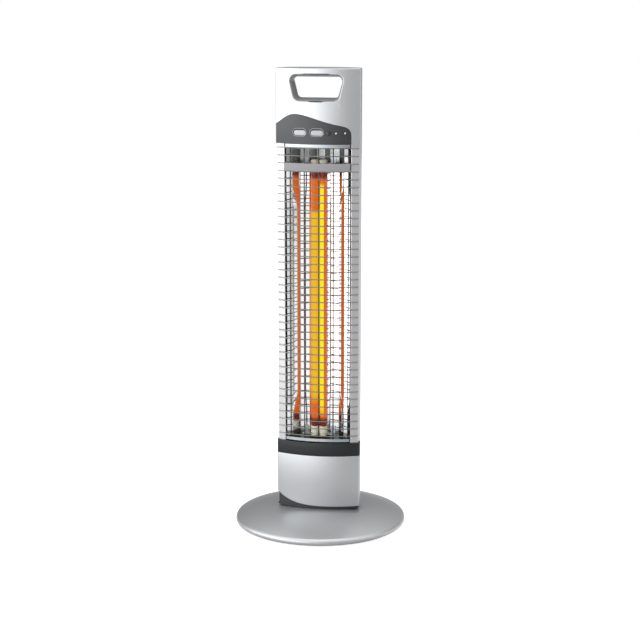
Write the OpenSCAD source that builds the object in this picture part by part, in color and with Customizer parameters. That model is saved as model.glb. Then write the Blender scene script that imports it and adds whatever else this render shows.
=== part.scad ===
// Carbon heater: a bowed tower that swings on a round weighted base.
// Millimetres, +Z up. The origin is on the floor, on the axis that the tower turns about.
// The front of the heater faces -Y.

/* [Tower] */
// Width across the front covers
tower_w = 146; // [136:1:160]
// Distance from the pivot axis to the foremost line of the front
front_y = 37.5; // [35:0.5:42]
// How far the front bows forward across its width
front_bow = 15.5; // [12:0.5:18]
// Radius of the front corners
front_corner_r = 3; // [2.6:0.2:5]
// Distance from the pivot axis to the back of the housing
rear_y = 36; // [34:0.5:42]
// How far the back bows out across its width
rear_bow = 16; // [12:0.5:20]
// Radius of the rear corners
rear_corner_r = 22; // [16:1:26]
// Distance from the pivot axis forward to the rear edge of the front covers
cover_back = 10; // [9:0.5:12]
// Wall of the moulded front covers
cover_wall = 2.2; // [1.8:0.1:2.6]
// Wall of the rear housing
housing_wall = 2; // [1.6:0.1:2.6]
// How far the housing edge reaches forward inside the covers
housing_tongue = 4; // [3:0.5:5]

/* [Heights] */
// Height of the skirt's lower edge above the floor
skirt_z = 37; // [36.5:0.5:40]
// Height of the skirt
skirt_h = 91.5; // [80:0.5:120]
// Height of the dark trim band
trim_h = 24; // [18:0.5:30]
// Height of the heating window
window_h = 520.5; // [440:0.5:600]
// Height of the head
head_h = 127; // [124:0.5:140]

/* [Base] */
// Radius of the base at its widest
base_r = 150; // [146:1:170]
// Height of the widest line of the rim above the floor
rim_z = 7.5; // [7:0.5:9]
// Height of the rim's upper edge above the floor
rim_top_z = 14.2; // [13:0.2:16]
// Height of the dome's crown above the floor
dome_z = 31.9; // [31.5:0.1:32.4]
// Wall of the moulded base cover
base_wall = 2.5; // [2:0.1:3]
// Thickness of the steel base plate
plate_t = 2; // [1.5:0.1:2.5]
// Height of the base plate's underside above the floor
plate_z = 3; // [2.6:0.1:3.4]
// Gap between the circle of the feet and the cast ballast ring
ballast_gap = 12; // [8:0.5:14]
// Width of the cast ballast ring from its bore to its rim
ballast_w = 24; // [16:1:26]
// Gap between the swing motor and the cast ballast ring
motor_gap = 4; // [3:0.5:6]
// Thickness of the ballast ring
ballast_t = 9; // [6:0.5:10]
// Radius of the rubber feet
foot_r = 9; // [7:0.5:10]
// Distance from the rim in to the circle of the feet and cover screws
foot_inset = 21; // [19:0.5:23]
// Number of rubber feet
foot_count = 6; // [4:1:8]
// Inside radius of the mains cord gland
gland_bore_r = 3.4; // [2.8:0.1:3.8]
// Length of the mains cord gland
gland_len = 12; // [10:0.5:13]

/* [Swing] */
// Radius of the fixed pivot post
post_r = 12; // [11:0.5:13]
// Radius of the wire passage through the post
post_bore_r = 8.5; // [6:0.5:9]
// Running clearance of the hub on the post
pivot_clear = 0.06; // [0.04:0.01:0.09]
// How far the black turntable is set in from the tower's outline
turntable_in = 1.5; // [0.5:0.5:2.5]
// Swing of the tower to each side in degrees
swing_deg = 35; // [25:1:38]
// Gear module of the swing drive
gear_module = 1.5; // [1.5:0.5:1.5]
// Teeth of a full gear of the sector's size
gear_teeth = 64; // [64:16:64]
// Teeth of the motor pinion
pinion_teeth = 16; // [16:4:16]
// Face width of the gears
gear_t = 4; // [3:0.5:4.5]
// Play between tooth flanks at the pitch circle
backlash = 0.3; // [0.2:0.05:0.4]
// Radius of the swing motor's can
motor_r = 24.5; // [22:0.5:25]
// Radius of the pinion's shaft
pinion_shaft_r = 2.5; // [2:0.25:3]

/* [Window] */
// Width of the open window between the side rails
window_w = 112; // [104:1:118]
// Sheet thickness of the side rails
rail_t = 1.2; // [0.8:0.1:1.5]
// Number of horizontal guard wires
wire_count = 39; // [30:1:44]
// Radius of the horizontal guard wires
wire_r = 1; // [0.8:0.1:1.2]
// Radius of the upright guard wires
upright_r = 1.2; // [1:0.1:1.5]
// Distance between the upright guard wires
upright_pitch = 25; // [20:0.5:26]
// Height of the flat guard band
band_h = 11.5; // [8:0.5:14]
// Distance from the window's top to the middle of the flat guard band
band_drop = 40.5; // [36:0.5:50]
// Thickness of the flat guard band
band_t = 0.8; // [0.6:0.1:1]
// Sheet thickness of the reflector and its end plates
sheet_t = 0.8; // [0.6:0.1:1]

/* [Heating tubes] */
// Radius of the quartz tubes
tube_r = 6; // [5:0.25:6.5]
// Wall of the quartz tubes
tube_wall = 1; // [0.8:0.1:1.3]
// Distance between the axes of the two tubes
tube_pitch = 15; // [14.5:0.5:17]
// Distance of the tube axes in front of the pivot axis
tube_y = 12; // [10:0.5:13]
// Gap between the upper ceramic caps and the window's top plate
tube_end_gap = 22.3; // [18:0.1:30]
// Width of the carbon strip in each tube
carbon_w = 6; // [4:0.5:7]
// Length of the sprung lead at each end of a carbon strip
lead_len = 17; // [12:0.5:24]
// Radius of the ceramic end caps
cap_r = 7.1; // [6.9:0.1:7.2]
// Length of the ceramic end caps
cap_len = 18; // [14:1:20]

/* [Head] */
// Height of the grip opening at the front
slot_h = 46.5; // [42:0.5:48]
// Width of the grip opening across its top
slot_w = 95; // [86:1:98]
// Distance from the top of the head to the grip opening
slot_drop = 9.5; // [8:0.5:12]
// Wall of the dark grip liner
liner_wall = 2.2; // [1.8:0.1:2.6]
// Height of the control panel at its left edge
panel_left_h = 35; // [30:0.5:40]
// Height of the control panel at the crest of its wave
panel_crest_h = 51.4; // [46:0.5:56]
// Height of the control panel at its right shoulder
panel_right_h = 24.7; // [23:0.5:30]
// Distance of the wave's crest left of the middle
panel_crest_x = 42; // [36:1:48]
// Distance of the panel's right edge from the middle
panel_right_x = 58; // [56:1:62]

/* [Buttons] */
// Width of a push button
button_w = 22.4; // [18:0.2:23]
// Height of a push button
button_h = 9.4; // [8:0.2:10]
// Distance the buttons travel when pressed
button_travel = 1.5; // [1:0.1:1.6]
// Distance between the two buttons
button_pitch = 30; // [28:0.5:34]
// Height of the buttons above the panel's lower edge
button_z = 19; // [17:0.5:20]
// Gap round a button in its hole
button_gap = 0.5; // [0.3:0.05:0.7]

/* [Hidden] */

// Smoothness of round parts
$fn = 48;
// Gap at the seams between separate pieces
seam = 0.3;
// Gap between pieces that lie face to face
face_gap = 0.1;
// A small overrun that lets a cut pass clean through
cut = 1;

// Tower outline, worked out from the driving sizes
half_w = tower_w / 2;
front_r = half_w * half_w / (2 * front_bow) + front_bow / 2;
front_cy = front_r - front_y;
rear_half_w = half_w - cover_wall - seam;
rear_r = rear_half_w * rear_half_w / (2 * rear_bow) + rear_bow / 2;
rear_cy = rear_y - rear_r;
tongue_y = -cover_back - housing_tongue;
rail_inset = cover_wall + 0.2;
front_steps = 24;
corner_steps = 4;
rear_steps = 16;

// Heights of the stack
trim_z = skirt_z + skirt_h;
rail_z = trim_z + trim_h;
head_z = rail_z + window_h;
top_z = head_z + head_h;

// Levels inside the base
plate_top = plate_z + plate_t;
post_flange_t = 3;
shoulder_z = 19.4;
washer_t = 1.5;
hub_z = shoulder_z + washer_t + face_gap;
gear_z = hub_z + 0.2;
hub_ring_z = gear_z + gear_t + face_gap;
turntable_z = dome_z + 1.1;
turntable_t = 3;
plinth_z = turntable_z + turntable_t;
chassis_z = skirt_z + 21;
chassis_t = 2;
neck_top = plinth_z + 10;
retainer_t = 1.2;

// Gear sizes
gear_pitch_r = gear_module * gear_teeth / 2;
pinion_pitch_r = gear_module * pinion_teeth / 2;
motor_y = gear_pitch_r + pinion_pitch_r;
foot_ring_r = base_r - foot_inset;
ballast_r = foot_ring_r - ballast_gap;
ballast_bore_r = ballast_r - ballast_w;
pressure_deg = 20;
tooth_tip = 0.8 * gear_module;
tooth_root = 1.2 * gear_module;
stop_ring_r = 38;
stop_pin_r = 3;
stop_spare_deg = 1;

function polar(r, a) = r * [cos(a), sin(a)];
function flip(p) = [for (i = [len(p) - 1:-1:0]) p[i]];
function bezier(a, b, c, d, t) =
    pow(1 - t, 3) * a + 3 * pow(1 - t, 2) * t * b + 3 * (1 - t) * t * t * c + t * t * t * d;
function bezier_run(a, b, c, d, n) = [for (i = [0:n]) bezier(a, b, c, d, i / n)];
function arc(c, r, a0, a1, n) = [for (i = [0:n]) c + polar(r, a0 + (a1 - a0) * i / n)];

// The front outline, set in by d: from the left edge round the bow to the right edge
function front_path(d, y_end) =
    let (hw = half_w - d, r = front_r - d, rc = max(front_corner_r - d, 0.4),
         cx = hw - rc, th = asin(cx / (r - rc)), cy = front_cy - (r - rc) * cos(th))
    concat(
        [[-hw, y_end]],
        arc([-cx, cy], rc, 180, 270 - th, corner_steps),
        [for (i = [1:front_steps - 1]) [0, front_cy] + polar(r, 270 - th + 2 * th * i / front_steps)],
        arc([cx, cy], rc, 270 + th, 360, corner_steps),
        [[hw, y_end]]
    );

// The rear outline, set in by d: from the right edge round the back to the left edge
function rear_path(d, y_end) =
    let (hw = rear_half_w - d, r = rear_r - d, rc = max(rear_corner_r - d, 0.4),
         cx = hw - rc, th = asin(cx / (r - rc)), cy = rear_cy + (r - rc) * cos(th))
    concat(
        [[hw, y_end]],
        arc([cx, cy], rc, 0, 90 - th, corner_steps),
        [for (i = [1:rear_steps - 1]) [0, rear_cy] + polar(r, 90 - th + 2 * th * i / rear_steps)],
        arc([-cx, cy], rc, 90 + th, 180, corner_steps),
        [[-hw, y_end]]
    );

// Both outlines as one closed plan
function plan(front_in, rear_in, y_join) =
    concat(front_path(front_in, y_join), rear_path(rear_in, y_join));

// A wall that follows the front outline
module front_wall(d, t, y_end, z0, z1) {
    translate([0, 0, z0])
        linear_extrude(z1 - z0)
            polygon(concat(front_path(d, y_end), flip(front_path(d + t, y_end))));
}

// A wall that follows the rear outline
module rear_wall(d, t, y_end, z0, z1) {
    translate([0, 0, z0])
        linear_extrude(z1 - z0)
            polygon(concat(rear_path(d, y_end), flip(rear_path(d + t, y_end))));
}

// A flat plate of the tower's plan
module plan_plate(front_in, rear_in, z0, t) {
    translate([0, 0, z0])
        linear_extrude(t)
            polygon(plan(front_in, rear_in, tongue_y - seam));
}

// A closed skin over a stack of rings with the same number of points
module skin(rings) {
    n = len(rings[0]);
    m = len(rings);
    sides = [for (i = [0:m - 2], j = [0:n - 1])
        let (a = i * n + j, b = i * n + (j + 1) % n)
        each [[a, a + n, b], [b, a + n, b + n]]];
    lower = [[for (j = [0:n - 1]) j]];
    upper = [[for (j = [n - 1:-1:0]) (m - 1) * n + j]];
    polyhedron(points = [for (r = rings) each r], faces = concat(lower, upper, sides));
}

// A coil of round wire that stands on z0
module coil(r, wire, z0, h, turns, per_turn = 10, sides = 6) {
    n = turns * per_turn;
    skin([for (i = [0:n])
        let (a = 360 * i / per_turn, z = z0 + wire + (h - 2 * wire) * i / n)
        [for (k = [0:sides - 1])
            let (b = 360 * k / sides, q = r + wire * cos(b))
            [q * cos(a), q * sin(a), z - wire * sin(b)]]]);
}

// Places a child on the bowed front at width x, facing out along the surface
module on_front(x, z) {
    translate([0, front_cy, 0])
        rotate([0, 0, asin(x / front_r)])
            translate([0, -front_r, z])
                children();
}

// A bar with round ends, w wide and h high, from y0 to y1
module pill(w, h, y0, y1) {
    translate([0, y1, 0])
        rotate([90, 0, 0])
            linear_extrude(y1 - y0) {
                square([w - h, h], center = true);
                for (s = [-1, 1])
                    translate([s * (w - h) / 2, 0])
                        circle(r = h / 2);
            }
}

// A round bar along Y from y0 to y1
module y_bar(r, y0, y1) {
    translate([0, y1, 0])
        rotate([90, 0, 0])
            cylinder(r = r, h = y1 - y0);
}

// Base

// Height of the dome's outer surface at radius r
dome_edge_r = base_r - 4.5;
function dome(r) = dome_z - (dome_z - rim_top_z) * pow(r / dome_edge_r, 3);
cover_hole_r = 33.5;
dome_steps = 14;
rim_foot_r = base_r - 3;
cover_foot_z = plate_z - 0.5;
screw_r = 1.5;
screw_head_r = 2.9;
screw_head_t = 1.7;
cover_boss_r = 4;
cover_screw_reach = 6;
ballast_screw_reach = 4;
post_screw_reach = 2.4;
motor_screw_reach = 2;

function cover_outside() = concat(
    bezier_run([rim_foot_r, cover_foot_z], [base_r - 0.8, cover_foot_z + 1],
               [base_r, rim_z - 2], [base_r, rim_z], 5),
    [for (i = [1:6]) bezier([base_r, rim_z], [base_r, rim_z + 3],
                            [base_r - 2, rim_top_z - 0.9], [dome_edge_r, rim_top_z], i / 6)],
    [for (i = [1:dome_steps])
        let (r = dome_edge_r + (cover_hole_r - dome_edge_r) * i / dome_steps) [r, dome(r)]]
);
function cover_inside() = concat(
    [for (i = [dome_steps:-1:1])
        let (r = dome_edge_r + (cover_hole_r - dome_edge_r) * i / dome_steps) [r, dome(r) - base_wall]],
    [[dome_edge_r, rim_top_z - base_wall], [base_r - base_wall, rim_z], [rim_foot_r - base_wall, cover_foot_z]]
);

gland_z = 8.6;
gland_r = gland_bore_r + 1.4;
gland_y = base_r - 1;
foot_a0 = 90 - 90 / foot_count;
cover_screw_a0 = 90 + 90 / foot_count;

module ring_of(count, r, a0 = 0) {
    for (i = [0:count - 1])
        rotate([0, 0, a0 + 360 * i / count])
            translate([r, 0, 0])
                children();
}

module base_cover() color("#b6b9bd") {
    boss_top = dome(foot_ring_r + cover_boss_r) - base_wall / 2;
    difference() {
        union() {
            rotate_extrude($fn = 120)
                polygon(concat(cover_outside(), cover_inside()));
            ring_of(foot_count, foot_ring_r, cover_screw_a0)
                translate([0, 0, plate_top + face_gap])
                    cylinder(r = cover_boss_r, h = boss_top - plate_top - face_gap);
        }
        ring_of(foot_count, foot_ring_r, cover_screw_a0)
            translate([0, 0, plate_top - cut])
                cylinder(r = screw_r, h = cover_screw_reach + 2 * cut, $fn = 24);
        translate([0, 0, gland_z])
            y_bar(gland_r + face_gap, gland_y - gland_len, base_r + cut);
    }
}

plate_r = base_r - 6.2;
post_screw_ring_r = 20;
ballast_screw_ring_r = (ballast_r + ballast_bore_r) / 2;
tip_r = 68;
tip_a = 225;
plunger_r = 3;
motor_screw_x = motor_r + 4;

module base_plate() color("#8d9196") {
    difference() {
        translate([0, 0, plate_z])
            cylinder(r = plate_r, h = plate_t, $fn = 96);
        translate([0, 0, plate_z - cut]) {
            cylinder(r = post_bore_r, h = plate_t + 2 * cut);
            ring_of(foot_count, foot_ring_r, cover_screw_a0)
                cylinder(r = screw_r + 0.2, h = plate_t + 2 * cut, $fn = 24);
            ring_of(3, ballast_screw_ring_r, 10)
                cylinder(r = screw_r + 0.2, h = plate_t + 2 * cut, $fn = 24);
            ring_of(3, post_screw_ring_r, 90)
                cylinder(r = screw_r + 0.2, h = plate_t + 2 * cut, $fn = 24);
            ring_of(foot_count, foot_ring_r, foot_a0)
                cylinder(r = 3.2, h = plate_t + 2 * cut, $fn = 24);
            for (s = [-1, 1])
                translate([s * motor_screw_x, motor_y, 0])
                    cylinder(r = screw_r + 0.2, h = plate_t + 2 * cut, $fn = 24);
            rotate([0, 0, tip_a])
                translate([tip_r, 0, 0])
                    cylinder(r = plunger_r + 0.4, h = plate_t + 2 * cut, $fn = 32);
            translate([-gland_r - 1, gland_y - gland_len - 1, 0])
                cube([2 * gland_r + 2, gland_len + 2, plate_t + 2 * cut]);
        }
    }
}

module ballast_ring() color("#3b3d40") {
    translate([0, 0, plate_top + face_gap])
        difference() {
            cylinder(r = ballast_r, h = ballast_t, $fn = 96);
            translate([0, 0, -cut]) {
                cylinder(r = ballast_bore_r, h = ballast_t + 2 * cut, $fn = 96);
                translate([0, motor_y, 0])
                    cylinder(r = motor_r + motor_gap, h = ballast_t + 2 * cut);
            }
            ring_of(3, ballast_screw_ring_r, 10)
                translate([0, 0, -cut])
                    cylinder(r = screw_r, h = ballast_screw_reach + 2 * cut, $fn = 24);
        }
}

// One foot: a pad, a neck in the plate's hole and a head that snaps above the plate
module rubber_foot() {
    rotate_extrude($fn = 36)
        polygon([
            [0, 0], [foot_r - 1.2, 0], [foot_r - 0.3, 0.5], [foot_r, 1.4], [foot_r - 1, plate_z - face_gap],
            [3, plate_z - face_gap], [3, plate_top + face_gap], [4.2, plate_top + face_gap],
            [2.6, plate_top + 2.4], [0, plate_top + 2.4]
        ]);
}

module rubber_feet() color("#232426") {
    ring_of(foot_count, foot_ring_r, foot_a0)
        rubber_foot();
}

// A pan-head screw that points up, with its head under z = 0
module plate_screw(len) {
    translate([0, 0, -screw_head_t])
        cylinder(r = screw_head_r, h = screw_head_t, $fn = 24);
    translate([0, 0, -0.1])
        cylinder(r = screw_r - 0.05, h = len + 0.1, $fn = 24);
}

module base_screws() color("#c8cacd") {
    translate([0, 0, plate_z - 0.05]) {
        ring_of(foot_count, foot_ring_r, cover_screw_a0)
            plate_screw(plate_t + cover_screw_reach);
        ring_of(3, ballast_screw_ring_r, 10)
            plate_screw(plate_t + ballast_screw_reach);
        ring_of(3, post_screw_ring_r, 90)
            plate_screw(plate_t + post_screw_reach);
        for (s = [-1, 1])
            translate([s * motor_screw_x, motor_y, 0])
                plate_screw(plate_t + motor_screw_reach);
    }
}

module cord_gland() color("#1f2022") {
    translate([0, 0, gland_z])
        difference() {
            y_bar(gland_r, gland_y - gland_len, gland_y);
            y_bar(gland_bore_r, gland_y - gland_len - cut, gland_y + cut);
        }
}

// Swing drive

module pivot_post() color("#a9adb2") {
    z0 = plate_top + face_gap;
    arm_end = stop_ring_r;
    arm_half = 2 * stop_pin_r;
    difference() {
        union() {
            translate([0, 0, z0]) {
                cylinder(r = post_r + 14, h = post_flange_t);
                translate([-arm_half, -arm_end, 0])
                    cube([2 * arm_half, arm_end, post_flange_t]);
                translate([0, -arm_end, 0])
                    cylinder(r = arm_half, h = post_flange_t);
            }
            translate([0, 0, z0])
                cylinder(r = post_r + 5, h = shoulder_z - z0);
            translate([0, 0, z0])
                cylinder(r = post_r, h = neck_top + 3 - z0);
            translate([0, -stop_ring_r, z0])
                cylinder(r = stop_pin_r, h = gear_z + gear_t - 0.4 - z0, $fn = 32);
        }
        translate([0, 0, z0 - cut])
            cylinder(r = post_bore_r, h = neck_top + 10);
        translate([0, 0, neck_top + 0.3])
            difference() {
                cylinder(r = post_r + cut, h = retainer_t + 0.2);
                translate([0, 0, -cut])
                    cylinder(r = post_r - 0.9, h = retainer_t + 3 * cut);
            }
        ring_of(3, post_screw_ring_r, 90)
            translate([0, 0, z0 - cut])
                cylinder(r = screw_r, h = post_screw_reach + 2 * face_gap + cut, $fn = 24);
    }
}

module pivot_retainer() color("#5c6064") {
    translate([0, 0, neck_top + 0.4])
        difference() {
            cylinder(r = post_r + 4, h = retainer_t);
            translate([0, 0, -cut])
                cylinder(r = post_r - 0.8, h = retainer_t + 2 * cut);
            translate([-(post_r - 3), 0, -cut])
                cube([2 * (post_r - 3), post_r + 6, retainer_t + 2 * cut]);
        }
}

module bearing_washer() color("#e9e6dc") {
    translate([0, 0, shoulder_z + face_gap / 2])
        difference() {
            cylinder(r = post_r + 5, h = washer_t);
            translate([0, 0, -cut])
                cylinder(r = post_r + 0.15, h = washer_t + 2 * cut);
        }
}

module swing_motor() color("#b9bcc0") {
    z0 = plate_top + face_gap;
    can_top = gear_z - 2.2;
    translate([0, motor_y, 0])
        difference() {
            union() {
                translate([0, 0, z0])
                    cylinder(r = motor_r, h = can_top - z0);
                translate([0, 0, z0])
                    cylinder(r = 7, h = gear_z - 0.7 - z0);
                for (s = [-1, 1])
                    translate([s * motor_screw_x, 0, z0]) {
                        cylinder(r = 4, h = 2.2, $fn = 32);
                        translate([s > 0 ? -8 : 0, -4, 0])
                            cube([8, 8, 2.2]);
                    }
            }
            translate([0, 0, z0 + 4])
                cylinder(r = pinion_shaft_r + pivot_clear, h = gear_z, $fn = 32);
            for (s = [-1, 1])
                translate([s * motor_screw_x, 0, z0 - cut])
                    cylinder(r = screw_r, h = 4, $fn = 24);
        }
}

// Involute teeth: half the angle that a tooth spans at radius r
function roll_deg(rb, r) = sqrt(max(pow(r / rb, 2) - 1, 0)) * 180 / PI;
function inv_deg(rb, r) = roll_deg(rb, r) - atan(roll_deg(rb, r) * PI / 180);
function tooth_half(rp, teeth, r) =
    let (rb = rp * cos(pressure_deg))
    90 / teeth - backlash / 4 / rp * 180 / PI + inv_deg(rb, rp) - inv_deg(rb, max(r, rb));
function tooth(rp, teeth, a, n = 4) =
    let (rb = rp * cos(pressure_deg), root = rp - tooth_root, tip = rp + tooth_tip, r0 = max(rb, root),
         side = [for (i = [0:n]) let (r = r0 + (tip - r0) * i / n) [r, tooth_half(rp, teeth, r)]])
    concat(
        [polar(root, a - tooth_half(rp, teeth, r0))],
        [for (p = side) polar(p[0], a - p[1])],
        [for (p = flip(side)) polar(p[0], a + p[1])],
        [polar(root, a + tooth_half(rp, teeth, r0))]
    );

module drive_pinion() color("#efece2") {
    shaft_z = plate_top + face_gap + 5;
    translate([0, motor_y, 0]) {
        translate([0, 0, gear_z])
            linear_extrude(gear_t)
                polygon([for (k = [0:pinion_teeth - 1])
                    each tooth(pinion_pitch_r, pinion_teeth, 360 * (k + 0.5) / pinion_teeth - 90)]);
        translate([0, 0, shaft_z])
            cylinder(r = pinion_shaft_r, h = gear_z + 1 - shaft_z, $fn = 32);
    }
}

sector_half_deg = swing_deg + 18;
sector_teeth_half = ceil(sector_half_deg * gear_teeth / 360);
gear_hole_r = 20;
gear_screw_ring_r = 25;
gear_head_r = 2.8;
gear_head_t = 1.6;

module sector_gear() color("#e4e1d6") {
    root = gear_pitch_r - tooth_root;
    last = 90 + 360 * sector_teeth_half / gear_teeth + 180 / gear_teeth;
    translate([0, 0, gear_z])
        difference() {
            linear_extrude(gear_t)
                polygon(concat(
                    [for (k = [-sector_teeth_half:sector_teeth_half])
                        each tooth(gear_pitch_r, gear_teeth, 90 + 360 * k / gear_teeth)],
                    arc([0, 0], root, last, 540 - last, 30)
                ));
            translate([0, 0, -cut]) {
                cylinder(r = gear_hole_r + face_gap, h = gear_t + 2 * cut);
                ring_of(3, gear_screw_ring_r, 30) {
                    cylinder(r = screw_r + 0.1, h = gear_t + 2 * cut, $fn = 24);
                    cylinder(r = gear_head_r + face_gap, h = gear_head_t + 0.1 + cut, $fn = 24);
                }
                stop_slot(gear_t + 2 * cut);
            }
        }
}

// The curved slot that runs along the fixed stop pin
module stop_slot(h) {
    sweep = swing_deg + stop_spare_deg;
    play = 0.4;
    rotate([0, 0, 270 - sweep]) {
        rotate_extrude(angle = 2 * sweep, $fn = 96)
            translate([stop_ring_r - stop_pin_r - play, 0])
                square([2 * (stop_pin_r + play), h]);
        for (a = [0, 2 * sweep])
            rotate([0, 0, a])
                translate([stop_ring_r, 0, 0])
                    cylinder(r = stop_pin_r + play, h = h, $fn = 32);
    }
}

module gear_screws() color("#c8cacd") {
    translate([0, 0, gear_z])
        ring_of(3, gear_screw_ring_r, 30) {
            cylinder(r = gear_head_r, h = gear_head_t, $fn = 24);
            cylinder(r = screw_r - 0.05, h = gear_t + 4.5, $fn = 24);
        }
}

// Tip-over switch
tip_body_z = plate_top + face_gap;
tip_body_h = 14;
tip_cavity_z = tip_body_z + 3;
collar_t = 1.2;
tip_travel = 4;
plunger_foot_z = 0.2;

module at_tip() {
    rotate([0, 0, tip_a])
        translate([tip_r, 0, 0])
            children();
}

module tip_switch() color("#2c2e31") {
    at_tip()
        difference() {
            translate([-7, -11, tip_body_z])
                cube([14, 22, tip_body_h]);
            translate([0, 0, tip_body_z - cut])
                cylinder(r = plunger_r + 0.06, h = 4 + cut, $fn = 32);
            translate([0, 0, tip_cavity_z])
                cylinder(r = 5.4, h = tip_body_h - 4.5, $fn = 32);
        }
}

// The plunger is shown pushed in, as the floor holds it
module tip_plunger() color("#d9d6cc") {
    at_tip() {
        translate([0, 0, plunger_foot_z])
            cylinder(r = plunger_r, h = tip_cavity_z + tip_travel + collar_t + 0.2 - plunger_foot_z, $fn = 32);
        translate([0, 0, tip_cavity_z + tip_travel + 0.2])
            cylinder(r = 5, h = collar_t, $fn = 32);
    }
}

tip_spring_z = tip_cavity_z + tip_travel + 0.2 + collar_t + 0.05;
tip_spring_top = tip_cavity_z + tip_body_h - 4.5 - 0.05;

module tip_spring() color("#b8bbbf") {
    at_tip()
        coil(4.1, 0.4, tip_spring_z, tip_spring_top - tip_spring_z, 3);
}

// Turning hub and chassis

plinth_front_in = cover_wall + 0.4;
plinth_rear_in = housing_wall + seam;
plinth_wall = 3;
hub_ring_r = 30;
chassis_screw_r = 44;
chassis_screw_a = [20, 160, 200, 340];
chassis_screw_reach = 8;
chassis_boss_r = 5;
neck_r = post_r + 6;

module swivel_hub() color("#191a1c") {
    difference() {
        union() {
            translate([0, 0, hub_z])
                cylinder(r = gear_hole_r, h = plinth_z - hub_z);
            translate([0, 0, hub_ring_z])
                cylinder(r = hub_ring_r, h = plinth_z - hub_ring_z);
            translate([0, 0, turntable_z])
                linear_extrude(turntable_t)
                    polygon(plan(turntable_in, turntable_in, -cover_back));
            cylinder_between(neck_r, plinth_z - cut, neck_top);
            plinth();
            for (a = chassis_screw_a)
                rotate([0, 0, a])
                    translate([chassis_screw_r, 0, 0])
                        cylinder_between(chassis_boss_r, plinth_z - cut, chassis_z - face_gap);
        }
        translate([0, 0, hub_z - cut])
            cylinder(r = post_r + pivot_clear, h = neck_top - hub_z + 2 * cut);
        ring_of(3, gear_screw_ring_r, 30)
            translate([0, 0, hub_ring_z - cut])
                cylinder(r = screw_r, h = 5 + cut, $fn = 24);
        for (a = chassis_screw_a)
            rotate([0, 0, a])
                translate([chassis_screw_r, 0, chassis_z - chassis_screw_reach - cut])
                    cylinder(r = screw_r, h = chassis_screw_reach + 2 * cut, $fn = 24);
    }
}

module cylinder_between(r, z0, z1) {
    translate([0, 0, z0])
        cylinder(r = r, h = z1 - z0);
}

// The raised wall on the turntable that the tower's covers slip over
module plinth() {
    difference() {
        plan_plate(plinth_front_in, plinth_rear_in, plinth_z - cut, chassis_z - face_gap - plinth_z + cut);
        plan_plate(plinth_front_in + plinth_wall, plinth_rear_in + plinth_wall, plinth_z - 2 * cut,
                   chassis_z - plinth_z + 4 * cut);
    }
}

module chassis_plate() color("#9ea2a7") {
    difference() {
        plan_plate(plinth_front_in, plinth_rear_in, chassis_z, chassis_t);
        translate([0, 0, chassis_z - cut]) {
            cylinder(r = neck_r + 2, h = chassis_t + 2 * cut);
            for (a = chassis_screw_a)
                rotate([0, 0, a])
                    translate([chassis_screw_r, 0, 0])
                        cylinder(r = screw_r + 0.2, h = chassis_t + 2 * cut, $fn = 24);
            for (s = [-1, 1])
                for (p = [[boss_x, rail_foot_y], [skirt_lug_x, skirt_lug_y]])
                    translate([s * p[0], p[1], 0])
                        cylinder(r = screw_r, h = chassis_t + 2 * cut, $fn = 24);
        }
    }
}

// A pan-head screw that points down, with its head above z = 0
module drop_screw(len) {
    cylinder(r = screw_head_r, h = screw_head_t, $fn = 24);
    translate([0, 0, -len])
        cylinder(r = screw_r - 0.05, h = len + 0.1, $fn = 24);
}

module chassis_screws() color("#c8cacd") {
    for (a = chassis_screw_a)
        rotate([0, 0, a])
            translate([chassis_screw_r, 0, chassis_z + chassis_t + 0.05])
                drop_screw(chassis_t + chassis_screw_reach);
    for (s = [-1, 1])
        translate([s * boss_x, rail_foot_y, chassis_z + chassis_t + face_gap + rail_t + 0.05])
            drop_screw(chassis_t + rail_t + face_gap);
}

// The screws that hold the skirt to the chassis and the head to the rails
module cover_screws() color("#c8cacd") {
    for (s = [-1, 1]) {
        translate([s * skirt_lug_x, skirt_lug_y, chassis_z + chassis_t + face_gap + lug_t + 0.05])
            drop_screw(chassis_t + lug_t + face_gap);
        translate([s * boss_x, rail_foot_y, rail_top + face_gap + lug_t + 0.05])
            drop_screw(rail_t + lug_t + face_gap);
    }
}

// Lower covers

// How far the skirt's lower edge sweeps up at its left corner
sweep_rise = 16.6;
sweep_start_x = 40;
function skirt_edge(x) =
    skirt_z + sweep_rise * pow(max(sweep_start_x - x, 0) / (sweep_start_x + half_w), 4.3);

lug_t = 2.4;
skirt_lug_x = 24;
skirt_lug_w = 12;
skirt_lug_y = front_cy - sqrt(pow(front_r - cover_wall, 2) - skirt_lug_x * skirt_lug_x) + 7;

module skirt_cover() color("#b4b7bb") {
    difference() {
        union() {
            front_wall(0, cover_wall, -cover_back, skirt_z, trim_z - seam / 2);
            intersection() {
                translate([0, 0, chassis_z + chassis_t + face_gap])
                    linear_extrude(lug_t)
                        polygon(front_path(cover_wall / 2, skirt_lug_y + 5));
                for (s = [-1, 1])
                    translate([s * skirt_lug_x - skirt_lug_w / 2, -front_y, chassis_z])
                        cube([skirt_lug_w, front_y, chassis_t + face_gap + lug_t + cut]);
            }
        }
        for (s = [-1, 1])
            translate([s * skirt_lug_x, skirt_lug_y, chassis_z])
                cylinder(r = screw_r + face_gap, h = chassis_t + lug_t + cut, $fn = 24);
        rotate([90, 0, 0])
            linear_extrude(front_y + cut)
                polygon(concat(
                    [[-half_w - cut, skirt_z - cut], [sweep_start_x, skirt_z - cut]],
                    [for (i = [0:14])
                        let (x = sweep_start_x - (sweep_start_x + half_w) * i / 14) [x, skirt_edge(x)]],
                    [[-half_w - cut, skirt_edge(-half_w)]]
                ));
    }
}

// The band has a tongue that slips down behind the skirt, between the rails
tongue_t = 1.2;
tongue_h = 5;

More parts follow.
